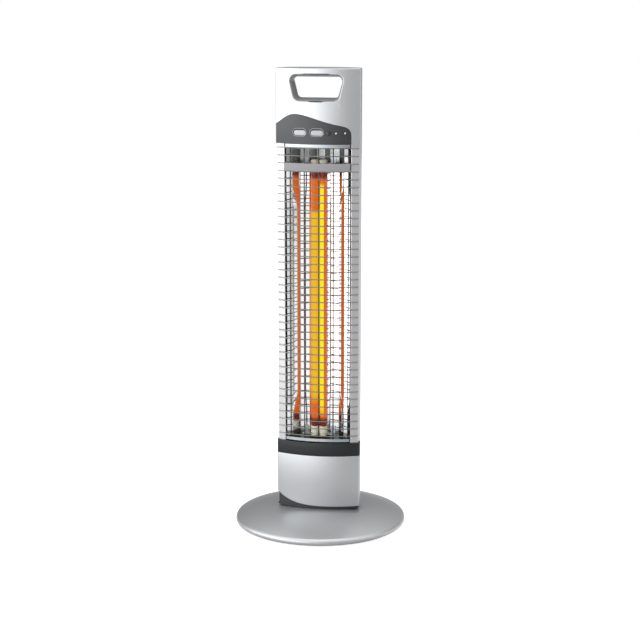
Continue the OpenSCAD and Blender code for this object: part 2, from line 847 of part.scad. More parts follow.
module trim_band() color("#3c4043") {
    front_wall(0, cover_wall, -cover_back, trim_z + seam / 2, rail_z - seam / 2);
    intersection() {
        union() {
            front_wall(cover_wall + face_gap, tongue_t, -cover_back, trim_z - tongue_h, trim_z + tongue_h);
            front_wall(cover_wall - face_gap, tongue_t / 2, -cover_back, trim_z + cut, trim_z + tongue_h);
        }
        translate([-window_w / 2 + tongue_h, -front_y, trim_z - tongue_h - cut])
            cube([window_w - 2 * tongue_h, front_y - front_bow, 2 * tongue_h + 2 * cut]);
    }
}

// Rear housing

housing_z = skirt_z + 3;
housing_top = top_z - 1;
boss_x = (window_w / 2 + half_w - rail_inset) / 2;
boss_r = 4.2;
boss_zs = [chassis_z + 40, rail_z + 130, rail_z + window_h - 130, head_z + 30];
boss_floor = 4;
housing_screw_reach = 4;
louvre_h = 3;
louvre_pitch = 8;
louvre_count = 8;
louvre_w = window_w - 36;
louvre_zs = [rail_z + 40, head_z - 110];

// Depth of the housing's outer surface at width x
function rear_surface(x) = rear_cy + sqrt(rear_r * rear_r - x * x);

module louvres() {
    for (z = louvre_zs, i = [0:louvre_count - 1])
        translate([0, 0, z + i * louvre_pitch])
            pill(louvre_w, louvre_h, rear_surface(louvre_w / 2) - 2 * housing_wall, rear_y + cut);
}

module rear_housing() color("#a8abb0") {
    difference() {
        union() {
            rear_wall(0, housing_wall, tongue_y, housing_z, top_z - cover_wall - seam);
            translate([0, 0, housing_top - housing_wall])
                linear_extrude(housing_wall)
                    polygon(rear_path(0, -cover_back + seam));
            intersection() {
                translate([0, 0, housing_z])
                    linear_extrude(housing_top - housing_z)
                        polygon(rear_path(housing_wall / 2, tongue_y));
                for (z = boss_zs, s = [-1, 1])
                    translate([s * boss_x, 0, z])
                        y_bar(boss_r, tongue_y + face_gap, rear_y);
            }
        }
        for (z = boss_zs, s = [-1, 1])
            translate([s * boss_x, 0, z]) {
                y_bar(screw_r + 0.3, tongue_y - cut, rear_y);
                y_bar(screw_head_r + 0.2, tongue_y + boss_floor, rear_y + cut);
            }
        louvres();
        slot_tunnel(liner_wall + face_gap);
    }
}

module housing_screws() color("#c8cacd") {
    for (z = boss_zs, s = [-1, 1])
        translate([s * boss_x, tongue_y + boss_floor + 0.05, z])
            rotate([-90, 0, 0]) {
                cylinder(r = screw_head_r, h = screw_head_t, $fn = 24);
                translate([0, 0, -boss_floor - housing_screw_reach])
                    cylinder(r = screw_r - 0.05, h = boss_floor + housing_screw_reach + 0.1, $fn = 24);
            }
}

// Side rails

rail_bottom = chassis_z + chassis_t + face_gap;
rail_top = head_z + 62;
rail_back_y = tongue_y - seam;
rail_lip = 5;
rail_foot_y = (front_cy - sqrt(pow(front_r - rail_inset - rail_t, 2) - pow(boss_x, 2))
    + rail_back_y - rail_t) / 2;

// The right-hand rail: a channel folded from sheet, closed by a foot and by a cap at its top
module rail() {
    difference() {
        union() {
            intersection() {
                front_wall(rail_inset, rail_t, rail_back_y, rail_bottom, rail_top);
                translate([window_w / 2, -front_y - cut, rail_bottom])
                    cube([half_w, front_y + cut, rail_top]);
            }
            intersection() {
                translate([0, 0, rail_bottom])
                    linear_extrude(rail_top - rail_bottom)
                        polygon(front_path(rail_inset + rail_t / 2, rail_back_y));
                translate([0, 0, rail_bottom])
                    linear_extrude(rail_top - rail_bottom) {
                        translate([window_w / 2, -front_y])
                            square([rail_t, front_lip_depth()]);
                        translate([window_w / 2 + 1, rail_back_y - rail_t])
                            square([half_w, rail_t]);
                    }
            }
            for (z = [rail_bottom, rail_top - rail_t])
                intersection() {
                    translate([0, 0, z])
                        linear_extrude(rail_t)
                            polygon(front_path(rail_inset + rail_t / 2, rail_back_y));
                    translate([window_w / 2, -front_y, z])
                        cube([half_w, front_y, rail_t]);
                }
        }
        for (z = [rail_bottom, rail_top - rail_t])
            translate([boss_x, rail_foot_y, z - cut])
                cylinder(r = screw_r + face_gap, h = rail_t + 2 * cut, $fn = 24);
        for (z = boss_zs)
            translate([boss_x, 0, z])
                y_bar(screw_r, rail_back_y - rail_t - cut, rail_back_y + cut);
    }
}

// Depth of the folded lip at the window's edge, from the front apex line
function front_lip_depth() = front_y + front_cy - sqrt(pow(front_r - rail_inset, 2) - pow(window_w / 2, 2)) + rail_lip;

module right_rail() color("#b3b5b8") rail();

module left_rail() color("#b3b5b8") mirror([1, 0, 0]) rail();

// Head

// Grip opening: half width at the top, half width at the bottom, bottom, top and corner radius
slot_top = top_z - slot_drop;
slot_lean = 0.235;
function slot_mouth(grow) =
    [slot_w / 2 + grow, slot_w / 2 - slot_lean * slot_h + grow, slot_top - slot_h - grow, slot_top + grow, 11 + grow];
waist_y = -18;
slot_stations = [
    [rear_y + 2, slot_mouth(1.5)],
    [waist_y + 12, slot_mouth(-6)],
    [waist_y, slot_mouth(-7)],
    [waist_y - 4, slot_mouth(-6.6)],
    [-front_y + front_bow / 2, slot_mouth(-1)],
    [-front_y - 2, slot_mouth(0)]
];

// One ring of the tunnel at depth y, grown outwards by g
function slot_ring(y, s, g) =
    let (wt = s[0], wb = s[1], z0 = s[2], z1 = s[3], r = s[4],
         lean = atan((wt - wb) / (z1 - z0)),
         x_at = function (z) wb + (wt - wb) * (z - z0) / (z1 - z0) - r / cos(lean),
         corners = [
             [x_at(z1 - r), z1 - r, -lean, 90], [-x_at(z1 - r), z1 - r, 90, 180 + lean],
             [-x_at(z0 + r), z0 + r, 180 + lean, 270], [x_at(z0 + r), z0 + r, 270, 360 - lean]
         ])
    [for (c = corners) each [for (p = arc([c[0], c[1]], r + g, c[2], c[3], 5)) [p[0], y, p[1]]]];

module slot_tunnel(g) {
    skin([for (s = slot_stations) slot_ring(s[0], s[1], g)]);
}

// The head's shape from the front: the panel's wave, from the left edge to its lower right corner
function panel_wave() = concat(
    bezier_run([-half_w - 3, head_z + panel_left_h - 2], [-half_w + 9, head_z + panel_left_h + 7],
               [-panel_crest_x - 14, head_z + panel_crest_h], [-panel_crest_x, head_z + panel_crest_h], 8),
    [for (i = [1:12]) bezier(
        [-panel_crest_x, head_z + panel_crest_h], [-panel_crest_x + 18, head_z + panel_crest_h],
        [panel_right_x - 48, head_z + panel_right_h + 6.8], [panel_right_x - 8, head_z + panel_right_h], i / 12)],
    [for (i = [1:5]) bezier(
        [panel_right_x - 8, head_z + panel_right_h], [panel_right_x - 3, head_z + panel_right_h - 1.7],
        [panel_right_x, head_z + panel_right_h - 6], [panel_right_x, head_z + panel_right_h - 12], i / 5)]
);
panel_side_y = -front_y + front_bow + 3;

// The space that the control panel fills in the head's front wall
module panel_space() {
    translate([0, panel_side_y, 0])
        rotate([90, 0, 0])
            linear_extrude(front_y + 10 + panel_side_y)
                polygon(concat(panel_wave(), [[panel_right_x, head_z - cut], [-half_w - 3, head_z - cut]]));
}

top_edge_r = 1.6;
lug_half = half_w - boss_x - cover_wall / 2;

module head_cover() color("#cdd0d3") {
    difference() {
        union() {
            front_wall(0, cover_wall, -cover_back, head_z + seam / 2, top_z - top_edge_r);
            skin([for (i = [0:4])
                let (a = 90 * i / 4, d = top_edge_r * (1 - cos(a)))
                [for (p = front_path(d, -cover_back)) [p[0], p[1], top_z - top_edge_r + top_edge_r * sin(a)]]]);
            translate([0, 0, top_z - cover_wall])
                linear_extrude(cover_wall / 2)
                    polygon(front_path(cover_wall / 2, -cover_back));
            intersection() {
                translate([0, 0, rail_top + face_gap])
                    linear_extrude(lug_t)
                        polygon(front_path(cover_wall / 2, rail_back_y));
                for (s = [-1, 1])
                    translate([s * boss_x - lug_half, -front_y, rail_top])
                        cube([2 * lug_half, front_y, lug_t + cut]);
            }
        }
        panel_space();
        slot_tunnel(liner_wall + face_gap);
        for (s = [-1, 1])
            translate([s * boss_x, rail_foot_y, rail_top - cut])
                cylinder(r = screw_r + face_gap, h = lug_t + 3 * cut, $fn = 24);
    }
}

module grip_liner() color("#5a5d60") {
    difference() {
        intersection() {
            slot_tunnel(liner_wall);
            translate([0, 0, head_z])
                linear_extrude(head_h)
                    polygon(plan(0, 0, -cover_back));
        }
        slot_tunnel(0);
    }
}

button_x = [-button_pitch + 0.5, 0.5];
button_recess = 0.9;
button_t = 3.2;
lens_x = 20;
lens_r = 4.2;
indicator_x = [33, 48];
indicator_r = 1.5;

module control_panel() color("#4b4f52") {
    difference() {
        intersection() {
            front_wall(0, cover_wall, panel_side_y - seam, head_z + seam / 2, top_z);
            translate([-seam, -seam, -seam])
                panel_space();
        }
        for (x = button_x)
            on_front(x, head_z + button_z)
                pill(button_w + 2 * button_gap, button_h + 2 * button_gap, -cut, cover_wall + cut);
        on_front(lens_x, head_z + button_z)
            y_bar(lens_r + face_gap, -cut, cover_wall + cut);
        for (x = indicator_x)
            on_front(x, head_z + button_z)
                y_bar(indicator_r + face_gap, -cut, cover_wall + cut);
    }
}

// A push button: the cap, a flange that keeps it behind the panel, and a stem
module push_button(x) {
    flange_y = cover_wall + 3 * seam;
    on_front(x, head_z + button_z) {
        pill(button_w, button_h, button_recess, flange_y + 0.6);
        pill(button_w + 4, button_h + 3, flange_y, flange_y + 1);
        y_bar(2.2, flange_y, button_stem_end(x));
    }
}

module power_button() color("#ced2d6") push_button(button_x[0]);

module swing_button() color("#c9ccd0") push_button(button_x[1]);

module receiver_lens() color("#2a2022") {
    on_front(lens_x, head_z + button_z)
        y_bar(lens_r, 0.3, cover_wall + 0.4);
}

module indicator_lenses() color("#e8e9ea") {
    for (x = indicator_x)
        on_front(x, head_z + button_z)
            y_bar(indicator_r, 0.1, cover_wall + 1.2);
}

// Control board behind the panel
board_y = -22;
board_t = 1.6;
board_w = 104;
board_h = 26;
board_mid_z = head_z + button_z;
switch_h = 3.6;
// Where a button's stem ends, just clear of its switch when pressed home
function surface_y(x) = front_cy - sqrt(front_r * front_r - x * x);
function button_stem_end(x) =
    (board_y - switch_h - surface_y(x)) / cos(asin(x / front_r)) - button_travel - seam;

module control_board() color("#2f6b46") {
    translate([-board_w / 2, board_y, board_mid_z - board_h / 2])
        cube([board_w, board_t, board_h]);
    for (s = [-1, 1])
        translate([s * (board_w / 2 - 4), 0, board_mid_z - board_h / 2 + 4])
            y_bar(2.6, panel_inside(board_w / 2 - 4) + seam, board_y + board_t / 2);
}

// Depth of the panel's inner face at width x
function panel_inside(x) = front_cy - sqrt(pow(front_r - cover_wall, 2) - x * x) + 0.5;

module button_switches() color("#1d1e20") {
    for (x = button_x) {
        lean = asin(x / front_r);
        sx = x - (front_y + board_y) * sin(lean);
        translate([sx, board_y - 0.05, board_mid_z]) {
            translate([-3, -switch_h + 1.1, -3])
                cube([6, switch_h - 1.1, 6]);
            y_bar(1.6, -switch_h, -switch_h + 1.2);
        }
    }
}

relay_w = 16;
relay_d = 12;
relay_h = 18;

module board_relays() color("#2b4f86") {
    for (share = [-0.41, 0, 0.23])
        translate([share * board_w, board_y + board_t + 0.05, board_mid_z - relay_h / 2])
            cube([relay_w, relay_d, relay_h]);
}

// Reflector and end plates

end_plate_z = rail_z + 2;
top_plate_z = head_z - 5.4;
reflector_half = window_w / 2 - 0.6;
reflector_edge_y = -front_y + 0.9 * front_bow;
reflector_back_y = 5;
shoulder_x = tube_pitch / 2 + 10.5;
shoulder_y = -tube_y + 7.5;
// The folds of the reflector's right half: trough, shoulder, wing and edge
reflector_side = [
    [tube_pitch / 2 - 0.5, reflector_back_y], [shoulder_x, shoulder_y],
    [reflector_half - 21.4, shoulder_y - 2], [reflector_half - 10.4, reflector_edge_y + 5.2],
    [reflector_half, reflector_edge_y]
];
reflector_shape = concat(flip(reflector_side), [for (p = reflector_side) [-p[0], p[1]]]);
function reflector_y(x) = lookup(abs(x), reflector_side);
reflector_z0 = end_plate_z + sheet_t + face_gap;
reflector_z1 = top_plate_z - face_gap;
reflector_skin = sheet_t * 1.3;

module reflector() color("#d3d5d8") {
    translate([0, 0, reflector_z0])
        linear_extrude(reflector_z1 - reflector_z0)
            polygon(concat(reflector_shape, flip([for (p = reflector_shape) p + [0, reflector_skin]])));
}

// The space in front of the reflector, drawn in by a gap
module reflector_front(gap) {
    polygon(concat(
        [for (p = reflector_shape) p - [0, gap]],
        [[-reflector_half, -front_y], [reflector_half, -front_y]]
    ));
}

// An end plate of the window: a level sheet with a front lip between the rails
lip_in = rail_inset - sheet_t - 0.2;

module end_plate(z0, lip_h) {
    back_y = rail_back_y - rail_t - seam;
    difference() {
        union() {
            intersection() {
                translate([0, 0, z0])
                    linear_extrude(sheet_t)
                        polygon(front_path(lip_in + sheet_t / 2, back_y));
                translate([-window_w / 2 + seam, -front_y, z0])
                    cube([window_w - 2 * seam, front_y, sheet_t]);
            }
            translate([-reflector_half + 6, back_y - cut, z0])
                cube([2 * reflector_half - 12, reflector_back_y + 4 - back_y, sheet_t]);
            intersection() {
                front_wall(lip_in, sheet_t, back_y, z0, z0 + lip_h);
                translate([-window_w / 2 + seam, -front_y, z0])
                    cube([window_w - 2 * seam, front_y, lip_h]);
            }
        }
        for (x = upright_x())
            translate([x, upright_y(x), z0 - cut])
                cylinder(r = upright_r + 0.08, h = sheet_t + 2 * cut, $fn = 24);
    }
}

module lower_end_plate() color("#bfc2c6") end_plate(end_plate_z, 5);

module upper_end_plate() color("#d0d2d5") end_plate(top_plate_z, head_z - seam - top_plate_z);

// Heating tubes

lower_cap_z = end_plate_z + sheet_t + 4;
cap_socket = 4;
tube_z = lower_cap_z + cap_len - cap_socket;
upper_cap_z = top_plate_z - tube_end_gap - cap_len;
tube_len = upper_cap_z + cap_socket - tube_z;
carbon_z = tube_z + lead_len;
carbon_len = tube_len - 2 * lead_len;
tube_x = tube_pitch / 2;

// Two folded holders that carry the tube ends, with tabs that stand against the reflector's shoulders
module tube_holders() color("#c4c7ca") {
    neck = cap_r - 1 + 0.05;
    tab_w = 8;
    tab_h = 12;
    holder_half = shoulder_x + tab_w + 2;
    holder_front_y = -tube_y - cap_r - 2;
    for (z = [lower_cap_z + 5, upper_cap_z + cap_len - 5 - sheet_t])
        difference() {
            translate([0, 0, z]) {
                linear_extrude(sheet_t)
                    intersection() {
                        reflector_front(face_gap);
                        translate([-holder_half, holder_front_y])
                            square([2 * holder_half, front_y]);
                    }
                linear_extrude(tab_h)
                    intersection() {
                        difference() {
                            reflector_front(face_gap);
                            reflector_front(face_gap + sheet_t);
                        }
                        for (s = [-1, 1])
                            translate([s * (holder_half - tab_w / 2) - tab_w / 2, holder_front_y])
                                square([tab_w, front_y]);
                    }
            }
            for (s = [-1, 1])
                translate([s * tube_x, -tube_y, z - cut]) {
                    cylinder(r = neck, h = sheet_t + 2 * cut);
                    translate([-neck, holder_front_y + tube_y - cut, 0])
                        cube([2 * neck, -holder_front_y - tube_y + cut, sheet_t + 2 * cut]);
                }
        }
}

// One ceramic cap: a socket for the tube end with a groove that the holder grips
module ceramic_cap() {
    difference() {
        rotate_extrude($fn = 36)
            polygon([
                [0, 0], [cap_r - 2, 0], [cap_r, 1.5], [cap_r, 4.9], [cap_r - 1, 4.9],
                [cap_r - 1, 5.1 + sheet_t], [cap_r, 5.1 + sheet_t], [cap_r, cap_len], [0, cap_len]
            ]);
        translate([0, 0, cap_len - cap_socket])
            cylinder(r = tube_r + face_gap, h = cap_socket + cut);
        translate([0, 0, -cut])
            cylinder(r = 1.2, h = cap_len, $fn = 24);
    }
}

module ceramic_caps() color("#ece8dc") {
    for (s = [-1, 1])
        translate([s * tube_x, -tube_y, 0]) {
            translate([0, 0, lower_cap_z])
                ceramic_cap();
            translate([0, 0, upper_cap_z + cap_len])
                mirror([0, 0, 1])
                    ceramic_cap();
        }
}

module quartz_tube(s) {
    translate([s * tube_x, -tube_y, tube_z])
        difference() {
            cylinder(r = tube_r, h = tube_len);
            translate([0, 0, -cut])
                cylinder(r = tube_r - tube_wall, h = tube_len + 2 * cut);
        }
}

module left_quartz_tube() color("#f2d9a0") quartz_tube(-1);

module right_quartz_tube() color("#f2d9a0") quartz_tube(1);

module carbon_strip(s) {
    translate([s * tube_x - carbon_w / 2, -tube_y - 0.5, carbon_z])
        cube([carbon_w, 1, carbon_len]);
}

module left_carbon_strip() color("#f0a818") carbon_strip(-1);

module right_carbon_strip() color("#f0a818") carbon_strip(1);

// The sprung leads that stretch each carbon strip
module lead_springs() color("#8e8a84") {
    for (s = [-1, 1])
        translate([s * tube_x, -tube_y, 0]) {
            coil(2.2, 0.5, tube_z + seam, lead_len - 2 * seam, 4, 8);
            coil(2.2, 0.5, carbon_z + carbon_len + seam, lead_len - 2 * seam, 4, 8);
        }
}

// Wire guard

wire_in = rail_inset - wire_r;
wire_half_w = half_w - rail_inset - 1.5;
wire_z0 = rail_z + 12;
wire_z1 = head_z - 6.8;
weld = 0.08;
upright_in = rail_inset + upright_r - weld;
function upright_x() = [for (k = [-2:2]) k * upright_pitch];
function upright_y(x) = front_cy - sqrt(pow(front_r - upright_in, 2) - x * x);

module guard_horizontals() color("#d9dbde") {
    r = front_r - wire_in + 0.02;
    half = asin(wire_half_w / r);
    for (i = [0:wire_count - 1])
        translate([0, front_cy, wire_z0 + (wire_z1 - wire_z0) * i / (wire_count - 1)])
            rotate([0, 0, 270 - half])
                rotate_extrude(angle = 2 * half, $fn = 180)
                    translate([r, 0])
                        circle(r = wire_r, $fn = 16);
}

module guard_uprights() color("#d4d6d9") {
    for (x = upright_x())
        translate([x, upright_y(x), end_plate_z - 1])
            cylinder(r = upright_r, h = top_plate_z - end_plate_z + 3, $fn = 24);
}

module guard_band() color("#a9a8ac") {
    band_z = head_z - band_drop - band_h / 2;
    intersection() {
        front_wall(rail_inset - 2 * wire_r - band_t - 0.08, band_t, rail_back_y, band_z, band_z + band_h);
        translate([-window_w / 2, -front_y - 5, band_z])
            cube([window_w, front_y, band_h]);
    }
}

// Wiring behind the reflector

module thermal_cutout() color("#cfc9b8") {
    translate([0, reflector_back_y + reflector_skin + face_gap, head_z - 90]) {
        translate([-7, 0, -10])
            cube([14, 3, 20]);
        y_bar(6, 2, 9);
    }
}

harness_x = -shoulder_x - 3;
harness_y = 21;
harness_r = 3;
harness_top = board_mid_z;

// The bundle rises from the chassis behind the reflector and runs forward to the board
module wire_harness() color("#7c2f2a") {
    z0 = chassis_z + chassis_t + 3;
    translate([harness_x, harness_y, z0])
        cylinder(r = harness_r, h = harness_top - z0, $fn = 24);
    translate([harness_x, 0, harness_top]) {
        translate([0, harness_y, 0])
            sphere(r = harness_r, $fn = 24);
        y_bar(harness_r, board_y + board_t + face_gap, harness_y);
    }
}

module harness_clips() color("#e6e6e2") {
    clip_half = 2;
    clip_y = reflector_y(harness_x + clip_half) + reflector_skin + face_gap;
    for (share = [0.06, 0.5, 0.88]) {
        z = rail_z + share * window_h;
        translate([harness_x, harness_y, z])
            difference() {
                union() {
                    cylinder(r = harness_r + 1.6, h = 8, $fn = 32);
                    translate([-clip_half, clip_y - harness_y, 0])
                        cube([2 * clip_half, harness_y - clip_y - harness_r, 8]);
                }
                translate([0, 0, -cut])
                    cylinder(r = harness_r + face_gap, h = 8 + 2 * cut, $fn = 32);
            }
    }
}

base_cover();
base_plate();
ballast_ring();
rubber_feet();
base_screws();
cord_gland();
pivot_post();
pivot_retainer();
bearing_washer();
swing_motor();
drive_pinion();
tip_switch();
tip_plunger();
tip_spring();
swivel_hub();
sector_gear();
gear_screws();
chassis_plate();
chassis_screws();
cover_screws();
skirt_cover();
trim_band();
rear_housing();
housing_screws();
left_rail();
right_rail();
head_cover();
grip_liner();
control_panel();
power_button();
swing_button();
receiver_lens();
indicator_lenses();
control_board();
button_switches();
board_relays();
reflector();
lower_end_plate();
upper_end_plate();
tube_holders();
left_quartz_tube();
right_quartz_tube();
left_carbon_strip();
right_carbon_strip();
ceramic_caps();
lead_springs();
guard_horizontals();
guard_uprights();
guard_band();
thermal_cutout();
wire_harness();
harness_clips();
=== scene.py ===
import math

import bpy
import numpy as np
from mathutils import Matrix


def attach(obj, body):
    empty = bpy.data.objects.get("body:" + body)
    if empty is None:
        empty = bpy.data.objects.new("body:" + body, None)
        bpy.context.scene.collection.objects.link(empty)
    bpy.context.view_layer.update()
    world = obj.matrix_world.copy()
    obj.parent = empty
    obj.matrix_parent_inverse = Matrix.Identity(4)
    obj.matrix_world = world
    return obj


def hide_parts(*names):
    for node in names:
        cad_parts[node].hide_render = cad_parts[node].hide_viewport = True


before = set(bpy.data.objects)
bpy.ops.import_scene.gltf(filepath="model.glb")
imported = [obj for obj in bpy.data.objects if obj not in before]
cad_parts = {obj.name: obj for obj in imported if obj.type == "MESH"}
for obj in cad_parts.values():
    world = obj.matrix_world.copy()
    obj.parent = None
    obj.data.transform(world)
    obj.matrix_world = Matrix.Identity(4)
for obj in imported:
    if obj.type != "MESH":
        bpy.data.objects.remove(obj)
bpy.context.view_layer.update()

# Camera and studio
# The heater stands on a white paper floor in a bright white studio. The light pools at the
# left front, so the left of the silver covers goes white and their right side stays grey.
MM = 0.001
camera_turn = math.radians(10.34)
camera_reach, camera_height, camera_dip = 2.804, 0.9443, 11.69
camera = bpy.data.objects.new("camera", bpy.data.cameras.new("camera"))
camera.location = (camera_reach * math.sin(camera_turn), -camera_reach * math.cos(camera_turn), camera_height)
camera.rotation_euler = (math.radians(90 - camera_dip), 0, camera_turn)
camera.data.lens, camera.data.sensor_width, camera.data.shift_x = 92.46, 36, -0.0007
bpy.context.scene.collection.objects.link(camera)
bpy.context.scene.camera = camera
bpy.context.scene.view_settings.view_transform = "Standard"


def lin(text):
    """The linear colour, with full alpha, of an sRGB hex value."""
    c = np.array([int(text[i:i + 2], 16) / 255 for i in (0, 2, 4)])
    c = np.where(c <= 0.04045, c / 12.92, ((c + 0.055) / 1.055) ** 2.4)
    return (*c.tolist(), 1.0)


def add(tree, kind, values=None, links=None, out=0):
    """Adds a node of a kind, or takes a node that is there, with its settings or constants and
    its linked inputs, and gives its output socket. A kind is its name without ShaderNode."""
    node = tree.nodes.new("ShaderNode" + kind) if isinstance(kind, str) else kind
    for key, value in (values or {}).items():
        if isinstance(key, int) or key in node.inputs:
            node.inputs[key].default_value = value
        else:
            setattr(node, key, value)
    for key, socket in (links or {}).items():
        tree.links.new(socket, node.inputs[key])
    return node.outputs[out] if node.outputs else None


def fresh(name):
    """A new material: itself, its tree, its surface shader and its Object coordinates."""
    made = bpy.data.materials.new(name)
    made.use_nodes = True
    tree = made.node_tree
    tree.nodes.clear()
    face = tree.nodes.new("ShaderNodeBsdfPrincipled")
    add(tree, "OutputMaterial", links={"Surface": face.outputs[0]})
    return made, tree, face, add(tree, "TexCoord", out=3)


studio = bpy.data.worlds.new("studio")
studio.use_nodes = True
bpy.context.scene.world = studio
sky = studio.node_tree
sky.nodes.clear()
way = sky.nodes.new("ShaderNodeSeparateXYZ")
add(sky, way, links={0: add(sky, "TexCoord", out=0)})
ahead = add(sky, "Math", {"operation": "MULTIPLY", 1: -1.0}, {0: way.outputs[1]})
turn = add(sky, "Math", {"operation": "ARCTAN2"}, {0: way.outputs[0], 1: ahead})
front = add(sky, "MapRange", {"From Min": -0.5, "From Max": 0.42, "To Min": 3.6, "To Max": 0.34,
            "interpolation_type": "SMOOTHSTEP"}, {"Value": turn})
right = add(sky, "MapRange", {"From Min": 0.7, "From Max": 1.2, "To Min": 0.0, "To Max": 1.0},
            {"Value": turn})
front = add(sky, "Math", {"operation": "ADD"}, {0: front, 1: right})
high = add(sky, "MapRange", {"From Min": 0.2, "From Max": 0.55, "interpolation_type": "SMOOTHSTEP"},
           {"Value": way.outputs[2]})
front = add(sky, "Mix", {3: 1.6}, {"Factor": high, 2: front})
back = add(sky, "MapRange", {"From Min": -0.3, "From Max": 0.3, "To Min": 0.2, "To Max": 0.48},
           {"Value": way.outputs[0]})
high = add(sky, "MapRange", {"From Min": 0.4, "From Max": 0.9, "interpolation_type": "SMOOTHSTEP"},
           {"Value": way.outputs[2]})
back = add(sky, "Mix", {3: 1.2}, {"Factor": high, 2: back})
behind = add(sky, "MapRange", {"From Min": -0.1, "From Max": 0.4,
             "interpolation_type": "SMOOTHSTEP"}, {"Value": way.outputs[1]})
light = add(sky, "Mix", links={"Factor": behind, 2: front, 3: back})
light = add(sky, "Mix", {3: 1.0}, {"Factor": add(sky, "LightPath", out=0), 2: light})
add(sky, "OutputWorld", links={
    "Surface": add(sky, "Background", {"Color": (1, 1, 1, 1)}, {"Strength": light})})


def soft_box(name, place, aim, size, watts):
    """A rectangular lamp at place, in metres, turned to face aim and itself out of sight."""
    lamp = bpy.data.lights.new(name, "AREA")
    lamp.shape, lamp.size, lamp.size_y, lamp.energy = "RECTANGLE", size[0], size[1], watts
    box = bpy.data.objects.new(name, lamp)
    across, along, rise = np.array(aim) - np.array(place)
    box.location = place
    box.rotation_euler = (math.pi / 2 + math.atan2(rise, math.hypot(across, along)), 0,
                          math.atan2(-across, along))
    box.visible_camera = False
    bpy.context.scene.collection.objects.link(box)


soft_box("left_box", (-1.5, -1.2, 1.5), (0, 0, 0.7), (0.9, 1.4), 5)
soft_box("top_box", (0.1, -0.5, 2.2), (0, 0, 0), (1.4, 1.0), 6)

floor_half = 6.0
corners = floor_half * np.array([[-1, -1, 0], [1, -1, 0], [1, 1, 0], [-1, 1, 0]])
floor_mesh = bpy.data.meshes.new("floor")
floor_mesh.from_pydata(corners.tolist(), [], [(0, 1, 2, 3)])
floor = bpy.data.objects.new("floor", floor_mesh)
bpy.context.scene.collection.objects.link(floor)

# Pale paper, white where the camera sees it. For the silver covers, which mirror it from below,
# a pool of light is painted onto it as glow, bright at the left front and falling off to the right,
# dim close to the heater but brightening at its far right, and far in front its colour is painted
# darker, as painted shade.
paper, t, face, at = fresh("white_paper_floor")
spot = t.nodes.new("ShaderNodeSeparateXYZ")
add(t, spot, links={0: at})
ahead = add(t, "Math", {"operation": "MULTIPLY", 1: -1.0}, {0: spot.outputs[1]})
turn = add(t, "Math", {"operation": "ARCTAN2"}, {0: spot.outputs[0], 1: ahead})
pool = add(t, "MapRange", {"From Min": -0.5, "From Max": 0.42, "To Min": 2.8, "To Max": 0.22,
           "interpolation_type": "SMOOTHSTEP"}, {"Value": turn})
close = add(t, "MapRange", {"From Min": -0.9, "From Max": 0.6, "To Min": 0.15, "To Max": 0.0},
            {"Value": turn})
edge = add(t, "MapRange", {"From Min": 0.8, "From Max": 1.3, "To Min": 0.0, "To Max": 0.5}, {"Value": turn})
close = add(t, "Math", {"operation": "ADD"}, {0: close, 1: edge})
far = add(t, "MapRange", {"From Min": 0.5, "From Max": 1.0, "interpolation_type": "SMOOTHSTEP"},
          {"Value": ahead})
glow = add(t, "Mix", links={"Factor": far, 2: close, 3: pool})
glow = add(t, "Mix", {3: 0.8}, {"Factor": add(t, "LightPath", out=0), 2: glow})
fibre = add(t, "TexNoise", {"Scale": 60.0, "Detail": 3.0}, {"Vector": at})
tint = add(t, "Mix", {"data_type": "RGBA", 6: lin("b4b4b4"), 7: lin("bcbcbc")}, {"Factor": fibre}, 2)
# Painted shade: far in front the paper's colour goes darker.
tint = add(t, "Mix", {"data_type": "RGBA", 7: lin("828282")}, {"Factor": far, 6: tint}, 2)
add(t, face, {"Roughness": 0.9, "Emission Color": (1, 1, 1, 1)},
    {"Base Color": tint, "Emission Strength": glow})
floor_mesh.materials.append(paper)

# Base cover
# A moulded plastic dome with a rolled rim, sprayed with silver lacquer. It drops over the
# steel base plate and is screwed to it from below. The cord gland passes through its rim.
base_r, rim_z, rim_top_z, dome_z, base_wall = 150.0, 7.5, 14.2, 31.9, 2.5
dome_edge_r, cover_hole_r, cover_foot_z = base_r - 4.5, 33.5, 2.5


def surface(points, wrap_u=False, wrap_v=False, ends=False):
    """A patch over an array of points (rows, columns, 3) in mm, where four neighbours make a face.
    wrap_u joins the last column to the first, wrap_v the last row to the first, and ends closes
    the first and the last row with one face each."""
    p = np.asarray(points, float)
    m, n = p.shape[:2]
    i = np.arange(m if wrap_v else m - 1)[:, None]
    j = np.arange(n if wrap_u else n - 1)[None, :]
    i2, j2 = (i + 1) % m, (j + 1) % n
    quads = np.stack([i * n + j, i * n + j2, i2 * n + j2, i2 * n + j], -1).reshape(-1, 4)
    caps = [np.arange(n)[::-1], np.arange((m - 1) * n, m * n)] if ends else []
    return p.reshape(-1, 3), quads, caps


def piece(name, body, material, surfaces, sharp=32):
    """One object in metres from closed surfaces in mm, each turned to face outwards: where the
    sum of its triangles' signed volumes is below zero, its faces are reversed."""
    corners, faces, first = [], [], 0
    for p, quads, caps in surfaces:
        fans = [np.stack([np.full(len(c) - 2, c[0]), c[1:-1], c[2:]], 1) for c in caps]
        tris = np.concatenate([quads[:, :3], quads[:, [0, 2, 3]], *fans])
        a, b, c = p[tris[:, 0]], p[tris[:, 1]], p[tris[:, 2]]
        if (np.cross(a, b) * c).sum() < 0:
            quads, caps = quads[:, ::-1], [c[::-1] for c in caps]
        corners.append(p)
        faces += (quads + first).tolist() + [(c + first).tolist() for c in caps]
        first += len(p)
    mesh = bpy.data.meshes.new(name)
    mesh.from_pydata((np.concatenate(corners) * MM).tolist(), [], faces)
    mesh.update()
    mesh.shade_smooth()
    mesh.set_sharp_from_angle(angle=math.radians(sharp))
    made = bpy.data.objects.new(name, mesh)
    bpy.context.scene.collection.objects.link(made)
    if material:
        mesh.materials.append(material)
    if body:
        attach(made, body)
    return made


